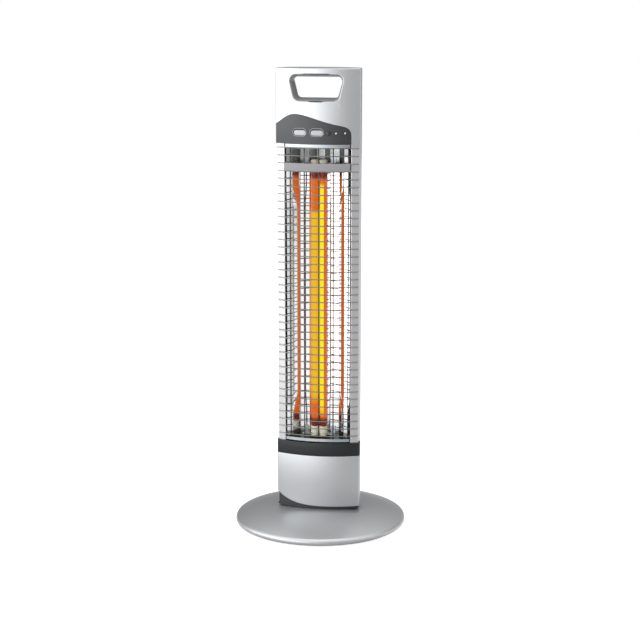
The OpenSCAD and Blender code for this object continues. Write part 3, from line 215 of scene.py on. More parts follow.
def cut(made, *shapes, how="DIFFERENCE"):
    """Takes shapes, each a list of closed surfaces, away from a piece, or keeps what they share."""
    cutters = [piece("cutter", None, None, surfaces) for surfaces in shapes]
    for cutter in cutters:
        step = made.modifiers.new("cut", "BOOLEAN")
        step.operation, step.object, step.solver = how, cutter, "EXACT"
    bpy.context.view_layer.update()
    mesh = bpy.data.meshes.new_from_object(made.evaluated_get(bpy.context.evaluated_depsgraph_get()))
    made.modifiers.clear()
    made.data, old = mesh, made.data
    bpy.data.meshes.remove(old)
    mesh.name = made.name
    mesh.shade_smooth()
    mesh.set_sharp_from_angle(angle=math.radians(32))
    for cutter in cutters:
        bpy.data.objects.remove(cutter)


def turned(profile, n=96, x=0.0, y=0.0):
    """A closed profile of (radius, height) turned about a vertical axis through x and y:
    across = x + r cos a, along = y + r sin a."""
    r, z = np.asarray(profile, float).T
    a = np.linspace(0, 2 * np.pi, n, endpoint=False)
    return surface(np.stack([x + r[:, None] * np.cos(a), y + r[:, None] * np.sin(a),
                             z[:, None] + 0 * a], -1), wrap_u=True, wrap_v=True)


def bezier(a, b, c, d, n):
    """n + 1 points on the cubic curve with the corner points a, b, c and d."""
    s = np.linspace(0, 1, n + 1)[:, None]
    a, b, c, d = map(np.array, (a, b, c, d))
    return (1 - s) ** 3 * a + 3 * (1 - s) ** 2 * s * b + 3 * (1 - s) * s * s * c + s ** 3 * d


def bar(r, y0, y1, x=0.0, z=0.0, n=40):
    """A round bar along Y from y0 to y1: across = x + r cos a, up = z + r sin a."""
    a = np.linspace(0, 2 * np.pi, n, endpoint=False)
    rim = np.stack([x + r * np.cos(a), 0 * a, z + r * np.sin(a)], -1)
    return surface(np.stack([rim + [0, y0, 0], rim + [0, y1, 0]]), wrap_u=True, ends=True)


# Silver lacquer: aluminium flake of 0.05 mm in a clear binder, satin with soft highlights.
# The flake is drawn at about 1 mm and faintly, and the coat's orange peel at 6 mm.
silver_lacquer, t, face, at = fresh("silver_flake_lacquer_on_abs")
flake = add(t, "TexNoise", {"Scale": 900.0, "Detail": 2.0}, {"Vector": at})
peel = add(t, "TexNoise", {"Scale": 160.0, "Detail": 1.0}, {"Vector": at})
tint = add(t, "Mix", {"data_type": "RGBA", 6: lin("a9abad"), 7: lin("b3b5b7")}, {"Factor": flake}, 2)
gloss = add(t, "MapRange", {"To Min": 0.34, "To Max": 0.42}, {"Value": peel})
bump = add(t, "Bump", {"Strength": 0.15, "Distance": 0.00002}, {"Height": flake})
add(t, face, {"Metallic": 0.8, "Coat Weight": 0.1, "Coat Roughness": 0.25},
    {"Base Color": tint, "Roughness": gloss, "Normal": bump})

dome_r = np.linspace(dome_edge_r, cover_hole_r, 60)[1:]
dome_top = np.stack([dome_r, dome_z - (dome_z - rim_top_z) * (dome_r / dome_edge_r) ** 3], 1)
foot_r, widest = base_r - 3, (base_r, rim_z)
dome = piece("dome_cover", "base", silver_lacquer, [turned(np.concatenate([
    bezier((foot_r, cover_foot_z), (base_r - 0.8, cover_foot_z + 1), (base_r, rim_z - 2), widest, 10),
    bezier(widest, (base_r, rim_z + 3), (base_r - 2, rim_top_z - 0.9), (dome_edge_r, rim_top_z), 12)[1:],
    dome_top, dome_top[::-1] - [0, base_wall],
    [[dome_edge_r, rim_top_z - base_wall], [base_r - base_wall, rim_z], [foot_r - base_wall, cover_foot_z]],
]), 200)])
gland_z, gland_r = 8.6, 4.8
cut(dome, [bar(gland_r + 0.1, base_r - 14, base_r + 2, z=gland_z)])
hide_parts("base_cover")

# Under the base
# A pressed steel plate closes the dome, with a cast ring on it, rubber feet pushed into its
# holes, and screws from below. The post, the drive and the tip-over switch stand on it.
def dress(material, *nodes):
    """Gives a material to nodes of the frame whose shape is kept."""
    for name in nodes:
        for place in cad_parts[name].material_slots:
            place.material = material


# Zinc-plated sheet: bright grey with a cloudy spangle of about 12 mm.
zinc_sheet, t, face, at = fresh("zinc_plated_steel_sheet")
spangle = add(t, "TexVoronoi", {"Scale": 85.0, "Randomness": 1.0}, {"Vector": at}, 1)
tint = add(t, "Mix", {"data_type": "RGBA", "blend_type": "MULTIPLY", "Factor": 0.14,
           6: lin("a7abaf")}, {7: spangle}, 2)
cloud = add(t, "TexNoise", {"Scale": 40.0, "Detail": 3.0}, {"Vector": at})
gloss = add(t, "MapRange", {"To Min": 0.28, "To Max": 0.42}, {"Value": cloud})
add(t, face, {"Metallic": 1.0}, {"Base Color": tint, "Roughness": gloss})
dress(zinc_sheet, "base_plate", "chassis_plate")

# Cast iron under black dip paint: dull, with the sand's grain of about 1.5 mm.
painted_iron, t, face, at = fresh("dipped_cast_iron")
sand = add(t, "TexNoise", {"Scale": 650.0, "Detail": 4.0}, {"Vector": at})
tint = add(t, "Mix", {"data_type": "RGBA", 6: lin("26282a"), 7: lin("35383b")}, {"Factor": sand}, 2)
bump = add(t, "Bump", {"Strength": 0.5, "Distance": 0.0004}, {"Height": sand})
add(t, face, {"Roughness": 0.7}, {"Base Color": tint, "Normal": bump})
dress(painted_iron, "ballast_ring")

# Moulded rubber: matt near-black with a fine grey bloom.
black_rubber, t, face, at = fresh("moulded_black_rubber")
bloom = add(t, "TexNoise", {"Scale": 300.0, "Detail": 4.0}, {"Vector": at})
tint = add(t, "Mix", {"data_type": "RGBA", 6: lin("191a1b"), 7: lin("27282a")}, {"Factor": bloom}, 2)
bump = add(t, "Bump", {"Strength": 0.3, "Distance": 0.0001}, {"Height": bloom})
add(t, face, {"Roughness": 0.82}, {"Base Color": tint, "Normal": bump})
dress(black_rubber, "rubber_feet", "cord_gland")

# Zinc-plated screws and pressings: bright, with drawing marks half a millimetre apart.
bright_zinc, t, face, at = fresh("bright_zinc_plated_steel")
marks = add(t, "TexNoise", {"Scale": 1800.0, "Detail": 2.0}, {"Vector": at})
tint = add(t, "Mix", {"data_type": "RGBA", 6: lin("b4b7ba"), 7: lin("d2d4d6")}, {"Factor": marks}, 2)
gloss = add(t, "MapRange", {"To Min": 0.22, "To Max": 0.38}, {"Value": marks})
add(t, face, {"Metallic": 1.0}, {"Base Color": tint, "Roughness": gloss})
dress(bright_zinc, "base_screws", "gear_screws", "chassis_screws", "cover_screws", "housing_screws",
      "pivot_post", "pivot_retainer", "swing_motor", "tip_spring")

# Natural nylon and acetal: creamy white and waxy, with a little depth.
white_nylon, t, face, at = fresh("natural_nylon")
cloud = add(t, "TexNoise", {"Scale": 120.0, "Detail": 3.0}, {"Vector": at})
tint = add(t, "Mix", {"data_type": "RGBA", 6: lin("dcd8cb"), 7: lin("eceade")}, {"Factor": cloud}, 2)
gloss = add(t, "MapRange", {"To Min": 0.38, "To Max": 0.5}, {"Value": cloud})
add(t, face, {"IOR": 1.53, "Subsurface Weight": 0.08, "Subsurface Scale": 0.002},
    {"Base Color": tint, "Roughness": gloss})
dress(white_nylon, "bearing_washer", "drive_pinion", "sector_gear", "tip_plunger", "harness_clips")


def spark_abs(name, colours, roughness, relief, gloss_values):
    """ABS from a spark-eroded mould: satin, with a grain of 0.4 mm that is drawn at 0.9 mm. The
    grain runs between two colours and two roughnesses, and relief says how much it stands up."""
    made, t, face, at = fresh(name)
    spark = add(t, "TexNoise", {"Scale": 1100.0, "Detail": 2.0}, {"Vector": at})
    tint = add(t, "Mix", {"data_type": "RGBA", 6: lin(colours[0]), 7: lin(colours[1])}, {"Factor": spark}, 2)
    gloss = add(t, "MapRange", {"To Min": roughness[0], "To Max": roughness[1]}, {"Value": spark})
    bump = add(t, "Bump", {"Strength": relief, "Distance": 0.00003}, {"Height": spark})
    add(t, face, gloss_values, {"Base Color": tint, "Roughness": gloss, "Normal": bump})
    return made


# Black ABS: the dullest of the mouldings, nearly black.
black_abs = spark_abs("black_moulded_abs", ("151618", "1e1f22"), (0.4, 0.52), 0.4, {"IOR": 1.53})
dress(black_abs, "swivel_hub", "tip_switch", "button_switches")

# Skirt and trim band
# The silver skirt is a bowed moulding whose lower edge sweeps up at its left corner, and the
# dark band above it is moulded in grey ABS. Both clip to the chassis, and their edges are soft.
half_w, front_y, front_bow, front_corner = 73.0, 37.5, 15.5, 3.0
front_r = half_w ** 2 / (2 * front_bow) + front_bow / 2
front_cy = front_r - front_y
cover_back, cover_wall, seam = 10.0, 2.2, 0.3
skirt_z, trim_z, rail_z, head_z, top_z = 37.0, 128.5, 152.5, 673.0, 800.0


def arc(cx, cy, r, a0, a1, n):
    """n + 1 points on a circle's arc, from angle a0 to a1 in degrees."""
    a = np.radians(np.linspace(a0, a1, n + 1))
    return np.stack([cx + r * np.cos(a), cy + r * np.sin(a)], 1)


def front_line(d=0.0, y_end=-cover_back, bow=80, corner=8):
    """The front outline set in by d: left edge, left corner, the bow, right corner, right edge."""
    hw, r, rc = half_w - d, front_r - d, max(front_corner - d, 0.4)
    cx = hw - rc
    lean = math.degrees(math.asin(cx / (r - rc)))
    cy = front_cy - (r - rc) * math.cos(math.radians(lean))
    return np.concatenate([[[-hw, y_end]], arc(-cx, cy, rc, 180, 270 - lean, corner),
                           arc(0, front_cy, r, 270 - lean, 270 + lean, bow)[1:-1],
                           arc(cx, cy, rc, 270 + lean, 360, corner), [[hw, y_end]]])


def wall(line, low, top, inset, thick, edge):
    """A wall of a given thickness that follows line(inset) from the height low to top, which are
    numbers or functions of the width. Its section is a loop with a quarter round at each corner."""
    q = np.linspace(0, np.pi / 2, 5)
    s, c = edge * (1 - np.sin(q)), edge * (1 - np.cos(q))
    d = inset + np.concatenate([s, c, thick - s, thick - c])
    rise = np.concatenate([c, -s, -c, s])
    upper = np.repeat([False, True, True, False], 5)
    rows = []
    for out, up, is_top in zip(d, rise, upper):
        xy = line(out)
        z = top if is_top else low
        z = z(xy[:, 0]) if callable(z) else z + 0 * xy[:, 0]
        rows.append(np.column_stack([xy, z + up]))
    return surface(np.stack(rows, 1), wrap_u=True, ends=True)


def skirt_edge(x):
    """The skirt's lower edge: level, then rising with the power 4.3 towards its left corner."""
    return skirt_z + 21 * (np.maximum(40 - x, 0) / (40 + half_w)) ** 4.3


skirt = piece("skirt_shell", "tower", silver_lacquer,
              [wall(front_line, skirt_edge, trim_z - seam / 2, 0, cover_wall, 0.6)])
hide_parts("skirt_cover")

# Charcoal ABS: cool and satin, with soft highlights.
charcoal_abs = spark_abs("charcoal_moulded_abs", ("0a0d10", "0f1418"), (0.36, 0.46), 0.3,
                         {"IOR": 1.5, "Specular IOR Level": 0.38})

trim = piece("trim_shell", "tower", charcoal_abs,
             [wall(front_line, trim_z + seam / 2, rail_z - seam / 2, 0, cover_wall, 0.5)])
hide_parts("trim_band")

# Side rails
# Two channels folded from 1.2 mm steel strip and sprayed silver frame the window. Each has a
# lip turned back at the window and a flange behind that takes the housing's screws.
rail_in, rail_t, rail_low, rail_top, window_half = 2.4, 1.2, 60.1, 735.0, 56.9
rail_back_y, rail_lip = -14.3, 5.0


def strip(path, thick, low, top):
    """A sheet standing on a plan path, half its thickness to each side of the path along the
    normals of its neighbours, from the height low to top."""
    ahead = np.gradient(path, axis=0)
    n = np.column_stack([-ahead[:, 1], ahead[:, 0]])
    n *= thick / 2 / np.linalg.norm(n, axis=1)[:, None]
    loop = np.concatenate([path + n, (path - n)[::-1]])
    return surface(np.stack([np.column_stack([loop, np.full(len(loop), z)]) for z in (low, top)]),
                   wrap_u=True, ends=True)


def rounded(points, r, n=6):
    """A path through points whose corners are rounded: a parabola from r before to r after."""
    p = np.asarray(points, float)
    path = [p[:1]]
    for a, b, c in zip(p[:-2], p[1:-1], p[2:]):
        before = b + (a - b) * min(r / np.linalg.norm(a - b), 0.5)
        after = b + (c - b) * min(r / np.linalg.norm(c - b), 0.5)
        path.append(bezier(before, (before + 2 * b) / 3, (after + 2 * b) / 3, after, n))
    return np.concatenate([*path, p[-1:]])


def rail(side):
    """One rail's sheet, mirrored where side is -1: lip, bow, corner, side and back flange."""
    mid = rail_in + rail_t / 2
    line = front_line(mid, rail_back_y - rail_t / 2, 160)
    line = line[line[:, 0] > window_half + 1.9]
    lip_x = window_half + rail_t / 2
    front = front_cy - math.sqrt((front_r - mid) ** 2 - lip_x ** 2)
    lip = bezier((lip_x, front + 1.2), (lip_x, front + 0.3), (lip_x + 0.4, front), line[0], 6)
    path = np.concatenate([[[lip_x, front + rail_lip - rail_t / 2]], lip, line[1:-1],
                           rounded([line[-1] - [0, 2], line[-1], [window_half + 1, line[-1, 1]]], 1.2)])
    return strip(path * [side, 1], rail_t, rail_low, rail_top)


# Silver baked enamel on steel: duller than the lacquered covers and less metallic, with a
# grain of about 1 mm.
silver_enamel, t, face, at = fresh("silver_baked_enamel_on_steel")
grain = add(t, "TexNoise", {"Scale": 800.0, "Detail": 2.0}, {"Vector": at})
tint = add(t, "Mix", {"data_type": "RGBA", 6: lin("acacae"), 7: lin("b6b6b8")}, {"Factor": grain}, 2)
gloss = add(t, "MapRange", {"To Min": 0.34, "To Max": 0.42}, {"Value": grain})
add(t, face, {"Metallic": 0.7}, {"Base Color": tint, "Roughness": gloss})
for name, side in (("left_rail", -1), ("right_rail", 1)):
    made = piece(name + "_sheet", "tower", silver_enamel, [rail(side)], 50)
    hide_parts(name)

# Head cover
# One silver moulding with a soft upper edge. The grip opening runs through it, and its lower
# front is cut away in a wave for the control panel.
slot_top, slot_h, slot_half, slot_lean, slot_corner, slot_mid = 789.6, 44.3, 48.5, 0.247, 11.0, -1.6
panel_side_y, panel_right_x = -19.0, 58.0
liner_wall, mouth_r, head_edge = 1.1, 1.1, 1.6
rear_half, rear_bow, rear_corner, rear_depth = 70.5, 16.0, 22.0, 36.0
rear_r = rear_half ** 2 / (2 * rear_bow) + rear_bow / 2
rear_cy = rear_depth - rear_r


def bowed(y, x):
    """Moves depth y to the curved covers: in front of the waist towards the bow of the front, and
    behind it towards the bow of the back, in proportion to the distance from the waist."""
    front = front_cy - np.sqrt(front_r ** 2 - x ** 2)
    back = rear_cy + np.sqrt(rear_r ** 2 - x ** 2)
    waist = -12.0
    return np.where(y < waist, waist + (y - waist) * (front - waist) / (-front_y - waist),
                    waist + (y - waist) * (back - waist) / (rear_depth - waist))


def slot_ring(y, grow, pinch, n=9):
    """The grip opening's outline at depth y, grown by grow all round and narrowed by pinch at
    each side: a rounded trapezium, wider at its top."""
    z0, z1, r = slot_top - slot_h - grow, slot_top + grow, slot_corner + 0.6 * grow
    wt, wb = slot_half + grow - pinch, slot_half - slot_lean * slot_h + grow - pinch
    lean = math.degrees(math.atan((wt - wb) / (z1 - z0)))
    upper, lower = (wb + (wt - wb) * (z - z0) / (z1 - z0) - r / math.cos(math.radians(lean))
                    for z in (z1 - r, z0 + r))
    z0, z1 = z0 + r, z1 - r
    ring = np.concatenate([arc(upper, z1, r, -lean, 90, n), arc(-upper, z1, r, 90, 180 + lean, n),
                           arc(-lower, z0, r, 180 + lean, 270, n), arc(lower, z0, r, 270, 360 - lean, n)])
    x = slot_mid + ring[:, 0]
    return np.column_stack([x, bowed(y, x), ring[:, 1]])


def slot_fit(y):
    """The growth and the pinch of the opening at depth y: it has a waist in the middle. The given
    widths are averaged over 4 mm, so that they run on smoothly."""
    spread = np.asarray(y)[..., None] + np.linspace(-2, 2, 9)
    return [np.interp(spread, [-39.5, -31, -20, -6, 38], fit).mean(-1)
            for fit in ([0, -2.5, -4.5, -4.5, 1.5], [0, -0.6, -1.9, -1.5, -2.1])]


bend = np.radians(np.linspace(0, 90, 7))


def tunnel(grow):
    """The grip's tunnel from front to back, grown by grow. A quarter round opens both mouths."""
    deep, out = mouth_r * (1 - np.cos(bend)), mouth_r * (1 - np.sin(bend))
    depth = np.concatenate([deep - front_y, np.linspace(-34, 32, 30), rear_depth - deep[::-1]])
    flare = np.concatenate([out, np.zeros(30), out[::-1]])
    rings = np.stack([slot_ring(y, grow + g + f, pinch)
                      for y, f, g, pinch in zip(depth, flare, *slot_fit(depth))])
    beyond = np.array([0, 50, 0])
    return surface(np.concatenate([rings[:1] * [1, 0, 1] - beyond, rings, rings[-1:] * [1, 0, 1] + beyond]),
                   wrap_u=True, ends=True)


def layers(outlines, heights):
    """A solid over closed level outlines, one for each height."""
    return surface(np.stack([np.column_stack([xy, np.full(len(xy), z)]) for xy, z in zip(outlines, heights)]),
                   wrap_u=True, ends=True)


# The panel's upper edge as width and height: a crest at the left, a long fall, a round corner.
wave = np.concatenate([
    bezier((-76, 704.5), (-64, 710.5), (-54, 723.6), (-38, 723.6), 16),
    bezier((-38, 723.6), (-18, 723.6), (6, 710.5), (42, 704), 24)[1:],
    bezier((42, 704), (52, 702), (panel_right_x, 697.5), (panel_right_x, 688), 12)[1:],
])
below_wave = np.concatenate([wave, [[panel_right_x, head_z - 4], [wave[0, 0], head_z - 4]]])
panel_space = surface(np.stack([np.insert(below_wave, 1, y, axis=1) for y in (-50, panel_side_y)]),
                      wrap_u=True, ends=True)
head = piece("head_shell", "tower", silver_lacquer, [layers(
    [front_line(d) for d in [0, *(head_edge * (1 - np.cos(bend)))]],
    [head_z + seam / 2, *(top_z - head_edge * (1 - np.sin(bend)))])])
hollow = layers([front_line(cover_wall, -5)] * 2, [head_z - 5, top_z - cover_wall])
cut(head, [hollow], [panel_space], [tunnel(liner_wall + 0.1)])
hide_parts("head_cover")

# Grip liner
# A moulded grey sleeve that lines the carry slot from front to back. It narrows to a waist
# inside, and its rims end just within the rounded edges of the covers.
round_in = np.radians(np.linspace(90, -90, 7))
run = np.linspace(-front_y + mouth_r, rear_depth - mouth_r, 44)
rim_r = liner_wall / 2
reach, out = rim_r * np.cos(round_in), rim_r * (1 - np.sin(round_in))
loop_y = np.concatenate([run, run[-1] + reach, run[::-1], run[0] - reach])
loop_out = np.concatenate([0 * run, out, 0 * run + liner_wall, liner_wall - out])
rings = np.stack([slot_ring(y, grow + out, pinch, 12)
                  for y, grow, pinch, out in zip(loop_y, *slot_fit(loop_y), loop_out)])
grip = piece("grip_sleeve", "tower", None, [surface(rings, wrap_u=True, wrap_v=True)], 60)
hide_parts("grip_liner")

# Mid grey ABS: satin, with a fine leather grain of about 1.4 mm.
grip_abs, t, face, at = fresh("mid_grey_grained_abs")
grain = add(t, "TexVoronoi", {"Scale": 700.0, "feature": "SMOOTH_F1"}, {"Vector": at})
tint = add(t, "Mix", {"data_type": "RGBA", 6: lin("6f7071"), 7: lin("7b7c7d")}, {"Factor": grain}, 2)
bump = add(t, "Bump", {"Strength": 0.3, "Distance": 0.00005}, {"Height": grain})
add(t, face, {"IOR": 1.53, "Roughness": 0.4}, {"Base Color": tint, "Normal": bump})
grip.data.materials.append(grip_abs)

# Control panel
# A dark grey moulding that fills the wave under the head. Two push buttons, the receiver's
# window and two small lamps sit in its holes. Thin silvered rings edge the buttons' holes.
button_z, button_x, button_w, button_h = head_z + 19, (-29.5, 0.5), 22.4, 9.4
lens_x, lens_r, lamp_x, lamp_r = 20.0, 4.2, (33.0, 48.0), 1.5


def on_front(x, z, u, d, w):
    """Points u across, d deep and w up from the front surface at width x and height z."""
    lean = math.asin(x / front_r)
    reach = front_r - d
    return np.stack([u * math.cos(lean) + reach * math.sin(lean),
                     front_cy + u * math.sin(lean) - reach * math.cos(lean), z + w + 0 * u], -1)


def pill(w, h, n=14):
    """The outline of a bar with round ends, w wide and h high, as across and up."""
    return np.concatenate([arc((w - h) / 2, 0, h / 2, -90, 90, n), arc(-(w - h) / 2, 0, h / 2, 90, 270, n)])


def plugs(x, z, outlines, depths, ends=True):
    """A solid on the front over outlines of (across, up), one for each depth."""
    return surface(np.stack([on_front(x, z, o[:, 0], d, o[:, 1]) for o, d in zip(outlines, depths)]),
                   wrap_u=True, wrap_v=not ends, ends=ends)


def panel_line(d):
    """The front outline set in by d, from the left cover's edge at the side to the panel's end."""
    line = front_line(d, panel_side_y - seam)
    keep = front_line(0, panel_side_y - seam)[:, 0] < panel_right_x - 1.5
    a, r = math.asin((panel_right_x - seam) / front_r), front_r - d
    return np.concatenate([line[keep], [[r * math.sin(a), front_cy - r * math.cos(a)]]])


def panel_edge(x):
    """The panel's upper edge: the wave, drawn in by the seam."""
    return np.interp(x + 0.6 * seam, wave[:, 0], wave[:, 1]) - seam


# Dark grey ABS: satin and even.
grey_abs = spark_abs("dark_grey_moulded_abs", ("1b1d1f", "202225"), (0.36, 0.46), 0.3, {"IOR": 1.53})

panel = piece("panel_shell", "tower", grey_abs,
              [wall(panel_line, head_z + seam / 2, panel_edge, 0, cover_wall, 0.5)])
hole_up, hole_w, hole_h = 1.0, button_w + 1.0, 12.6
holes = [plugs(x, button_z + hole_up, [pill(hole_w, hole_h)] * 2, (-2, 5)) for x in button_x]
disc = arc(0, 0, 1, 0, 360, 32)[:-1]
holes += [plugs(x, button_z, [disc * (r + 0.1)] * 2, (-2, 5))
          for x, r in ((lens_x, lens_r), (lamp_x[0], lamp_r), (lamp_x[1], lamp_r))]
cut(panel, holes)
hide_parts("control_panel")

lens_out = np.array([0.05, 0.05, 0.3, 0.7, 1.0, 1.0])
lens_deep = np.array([1.2, -0.15, -0.4, -0.4, -0.05, 1.2])
lens_rim = piece("receiver_rim", "tower", grey_abs, [
    plugs(lens_x, button_z, [disc * (lens_r + o) for o in lens_out], lens_deep, False)], 40)

# Push buttons and lamps
# Silver lacquered caps with a crowned face, each on its own plunger, a smoked window over the
# receiver and two clear lamp lenses.

# Satin silver lacquer with little flake: greyer and far less metallic than the covers. The
# flake is drawn at 0.7 mm.
satin_silver, t, face, at = fresh("satin_silver_lacquer_on_caps")
flake = add(t, "TexNoise", {"Scale": 1400.0, "Detail": 2.0}, {"Vector": at})
tint = add(t, "Mix", {"data_type": "RGBA", 6: lin("8c8f92"), 7: lin("989b9e")}, {"Factor": flake}, 2)
gloss = add(t, "MapRange", {"To Min": 0.3, "To Max": 0.4}, {"Value": flake})
add(t, face, {"Metallic": 0.2}, {"Base Color": tint, "Roughness": gloss})

rim_out = np.array([0.0, 0.0, 0.2, 0.45, 0.7, 0.7])
rim_deep = np.array([1.2, -0.2, -0.4, -0.4, -0.1, 1.2])
button_rims = piece("button_rims", "tower", satin_silver, [
    plugs(x, button_z + hole_up, [pill(hole_w + 2 * o, hole_h + 2 * o) for o in rim_out], rim_deep, False)
    for x in button_x], 40)

cap_inset = np.concatenate([[0, 0], 0.9 * (1 - np.cos(bend)), np.linspace(1.4, 4.5, 8)])
crown = 0.4 * np.sin(np.linspace(0, np.pi / 2, 9))[1:]
cap_deep = np.concatenate([[4.1, 2.0], 1.8 - 0.9 * np.sin(bend), 0.9 - crown])
for name, body, x in (("power_button", "power", button_x[0]), ("swing_button", "swing", button_x[1])):
    cap = piece(name + "_cap", body, satin_silver, [plugs(
        x, button_z, [pill(button_w - 2 * i, button_h - 2 * i) for i in cap_inset], cap_deep)])
    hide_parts(name)
    flange = piece(name + "_flange", body, black_abs, [plugs(
        x, button_z + hole_up, [pill(hole_w + 1.2, hole_h + 1.2)] * 2, (3.3, 4.1))])

# Smoked acrylic over the receiver: near-black and glossy.
smoked_acrylic, t, face, at = fresh("smoked_acrylic")
depth = add(t, "TexNoise", {"Scale": 200.0, "Detail": 1.0}, {"Vector": at})
tint = add(t, "Mix", {"data_type": "RGBA", 6: lin("1b1718"), 7: lin("262022")}, {"Factor": depth}, 2)
gloss = add(t, "MapRange", {"To Min": 0.06, "To Max": 0.12}, {"Value": depth})
add(t, face, {"IOR": 1.49}, {"Base Color": tint, "Roughness": gloss})
dome_in = np.sin(np.linspace(0, np.pi / 2, 8))
lens = piece("receiver_window", "tower", smoked_acrylic, [plugs(
    lens_x, button_z, [disc * lens_r, disc * lens_r, *[disc * (lens_r * (1.002 - s)) for s in dome_in]],
    [2.6, 0.6, *(0.35 - 0.7 * np.cos(np.arcsin(1 - dome_in)))])])
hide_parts("receiver_lens")

# Clear frosted styrene over the lamps.
frosted_styrene, t, face, at = fresh("frosted_clear_styrene")
frost = add(t, "TexNoise", {"Scale": 2500.0, "Detail": 2.0}, {"Vector": at})
tint = add(t, "Mix", {"data_type": "RGBA", 6: lin("c3c6c7"), 7: lin("d6d8d8")}, {"Factor": frost}, 2)
gloss = add(t, "MapRange", {"To Min": 0.15, "To Max": 0.3}, {"Value": frost})
add(t, face, {"IOR": 1.59, "Transmission Weight": 0.25}, {"Base Color": tint, "Roughness": gloss})
lamps = piece("indicator_domes", "tower", frosted_styrene, [plugs(
    x, button_z, [disc * lamp_r, disc * lamp_r, *[disc * (lamp_r * (1.003 - s)) for s in dome_in]],
    [3.2, 0.4, *(0.2 - 0.7 * np.cos(np.arcsin(1 - dome_in)))]) for x in lamp_x])
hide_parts("indicator_lenses")

# Rear housing
# The silver back of the tower, one moulding from the turntable to the top. Slots let the heat
# out, screws stand in deep holes down both sides, and the grip opening runs through its head.
def rear_line(d=0.0, y_end=-14.0, bow=64, corner=16):
    """The rear outline set in by d: right edge, right corner, the bow, left corner, left edge."""
    hw, r, rc = rear_half - d, rear_r - d, max(rear_corner - d, 0.4)
    cx = hw - rc
    lean = math.degrees(math.asin(cx / (r - rc)))
    cy = rear_cy + (r - rc) * math.cos(math.radians(lean))
    return np.concatenate([[[hw, y_end]], arc(cx, cy, rc, 0, 90 - lean, corner),
                           arc(0, rear_cy, r, 90 - lean, 90 + lean, bow)[1:-1],
                           arc(-cx, cy, rc, 90 + lean, 180, corner), [[-hw, y_end]]])


housing_z, housing_top, housing_wall, housing_edge = 40.0, 799.0, 2.0, 1.2
boss_x, boss_z, boss_r, screw_hole_r, boss_face_y = 63.3, (98.0, 282.5, 543.0, 703.0), 4.2, 3.1, -10.0
louvre_h, louvre_w, louvre_pitch, louvre_rows = 3.0, 76.0, 8, 8
louvre_z = louvre_pitch * np.arange(louvre_rows)
louvre_z = np.concatenate([rail_z + 40 + louvre_z, head_z - 110 + louvre_z])
housing = piece("housing_shell", "tower", silver_lacquer, [layers(
    [rear_line(d, -13.9) for d in [0, 0, *(housing_edge * (1 - np.cos(bend)))]],
    [housing_z, housing_top - 100, *(housing_top - housing_edge * (1 - np.sin(bend)))])])
inside = layers([rear_line(housing_wall, -20)] * 2, [housing_z - 5, housing_top - housing_wall])
step_down = layers([np.array([[-80, -20], [80, -20], [80, -9.7], [-80, -9.7]])] * 2, [top_z - 2.5, top_z + 5])
slots = [surface(np.stack([np.insert(pill(louvre_w, louvre_h, 8) + [0, z], 1, y, axis=1) for y in (26, 40)]),
                 wrap_u=True, ends=True) for z in louvre_z]
cut(housing, [inside], [step_down], slots, [tunnel(liner_wall + 0.1)])
bosses = [(s * boss_x, z) for s in (-1, 1) for z in boss_z]
wells = piece("screw_wells", "tower", silver_lacquer, [bar(boss_r, -13.9, 30, x, z) for x, z in bosses])
cut(wells, [layers([rear_line(0.02, -13.95)] * 2, [50, 790])], how="INTERSECT")
for made in (wells, housing):
    cut(made, [bar(screw_hole_r, boss_face_y, 40, x, z) for x, z in bosses])
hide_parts("rear_housing")

# Reflector
# A trough folded lengthways from bright aluminium: a groove behind the tubes, and a shoulder,
# a wing and a flat flange at each side. Towards the tubes' ends the wings are pressed steeper.
reflector_low, reflector_top, sheet_t = 155.4, 667.5, 0.8
fold_x = np.array([7, 18, 34, 45, 54.6])
fold_y = np.array([5, -4.5, -6.5, -18.35, -20.4])
end_y = np.array([5.0, -4.5, -5.8, -21.9, -23.6])
press_low, press_top = np.array([200, 240]), np.array([564, 604])
glow_low, glow_top = 190.3, 614.3
tube_x, tube_y, tube_r, tube_low, tube_top = 7.5, -12.0, 6.0, 173.3, 631.3


def smooth(x, a, b):
    """Runs from 0 at a to 1 at b along a smooth step."""
    s = np.clip((np.asarray(x, float) - a) / (b - a), 0, 1)
    return s * s * (3 - 2 * s)


def section(y):
    """The trough's plan path for the given depths of its folds, from right to left."""
    side = np.column_stack([fold_x, y])
    return rounded(np.concatenate([side[::-1], side * [-1, 1]]), 0.8, 4)


levels = [np.linspace(*(ends + [-4, 4]), 13) for ends in (press_low, press_top)]
levels = np.concatenate([[reflector_low], *levels, [reflector_top]])
pressed = 1 - smooth(levels, *press_low) + smooth(levels, *press_top)
rows = []
for z, share in zip(levels, pressed):
    path = section(fold_y + share * (end_y - fold_y))
    loop = np.concatenate([path, path[::-1] + [0, sheet_t * 1.3]])
    rows.append(np.column_stack([loop, np.full(len(loop), z)]))
trough = piece("reflector_sheet", "tower", None, [surface(np.stack(rows), wrap_u=True, ends=True)], 40)
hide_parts("reflector")
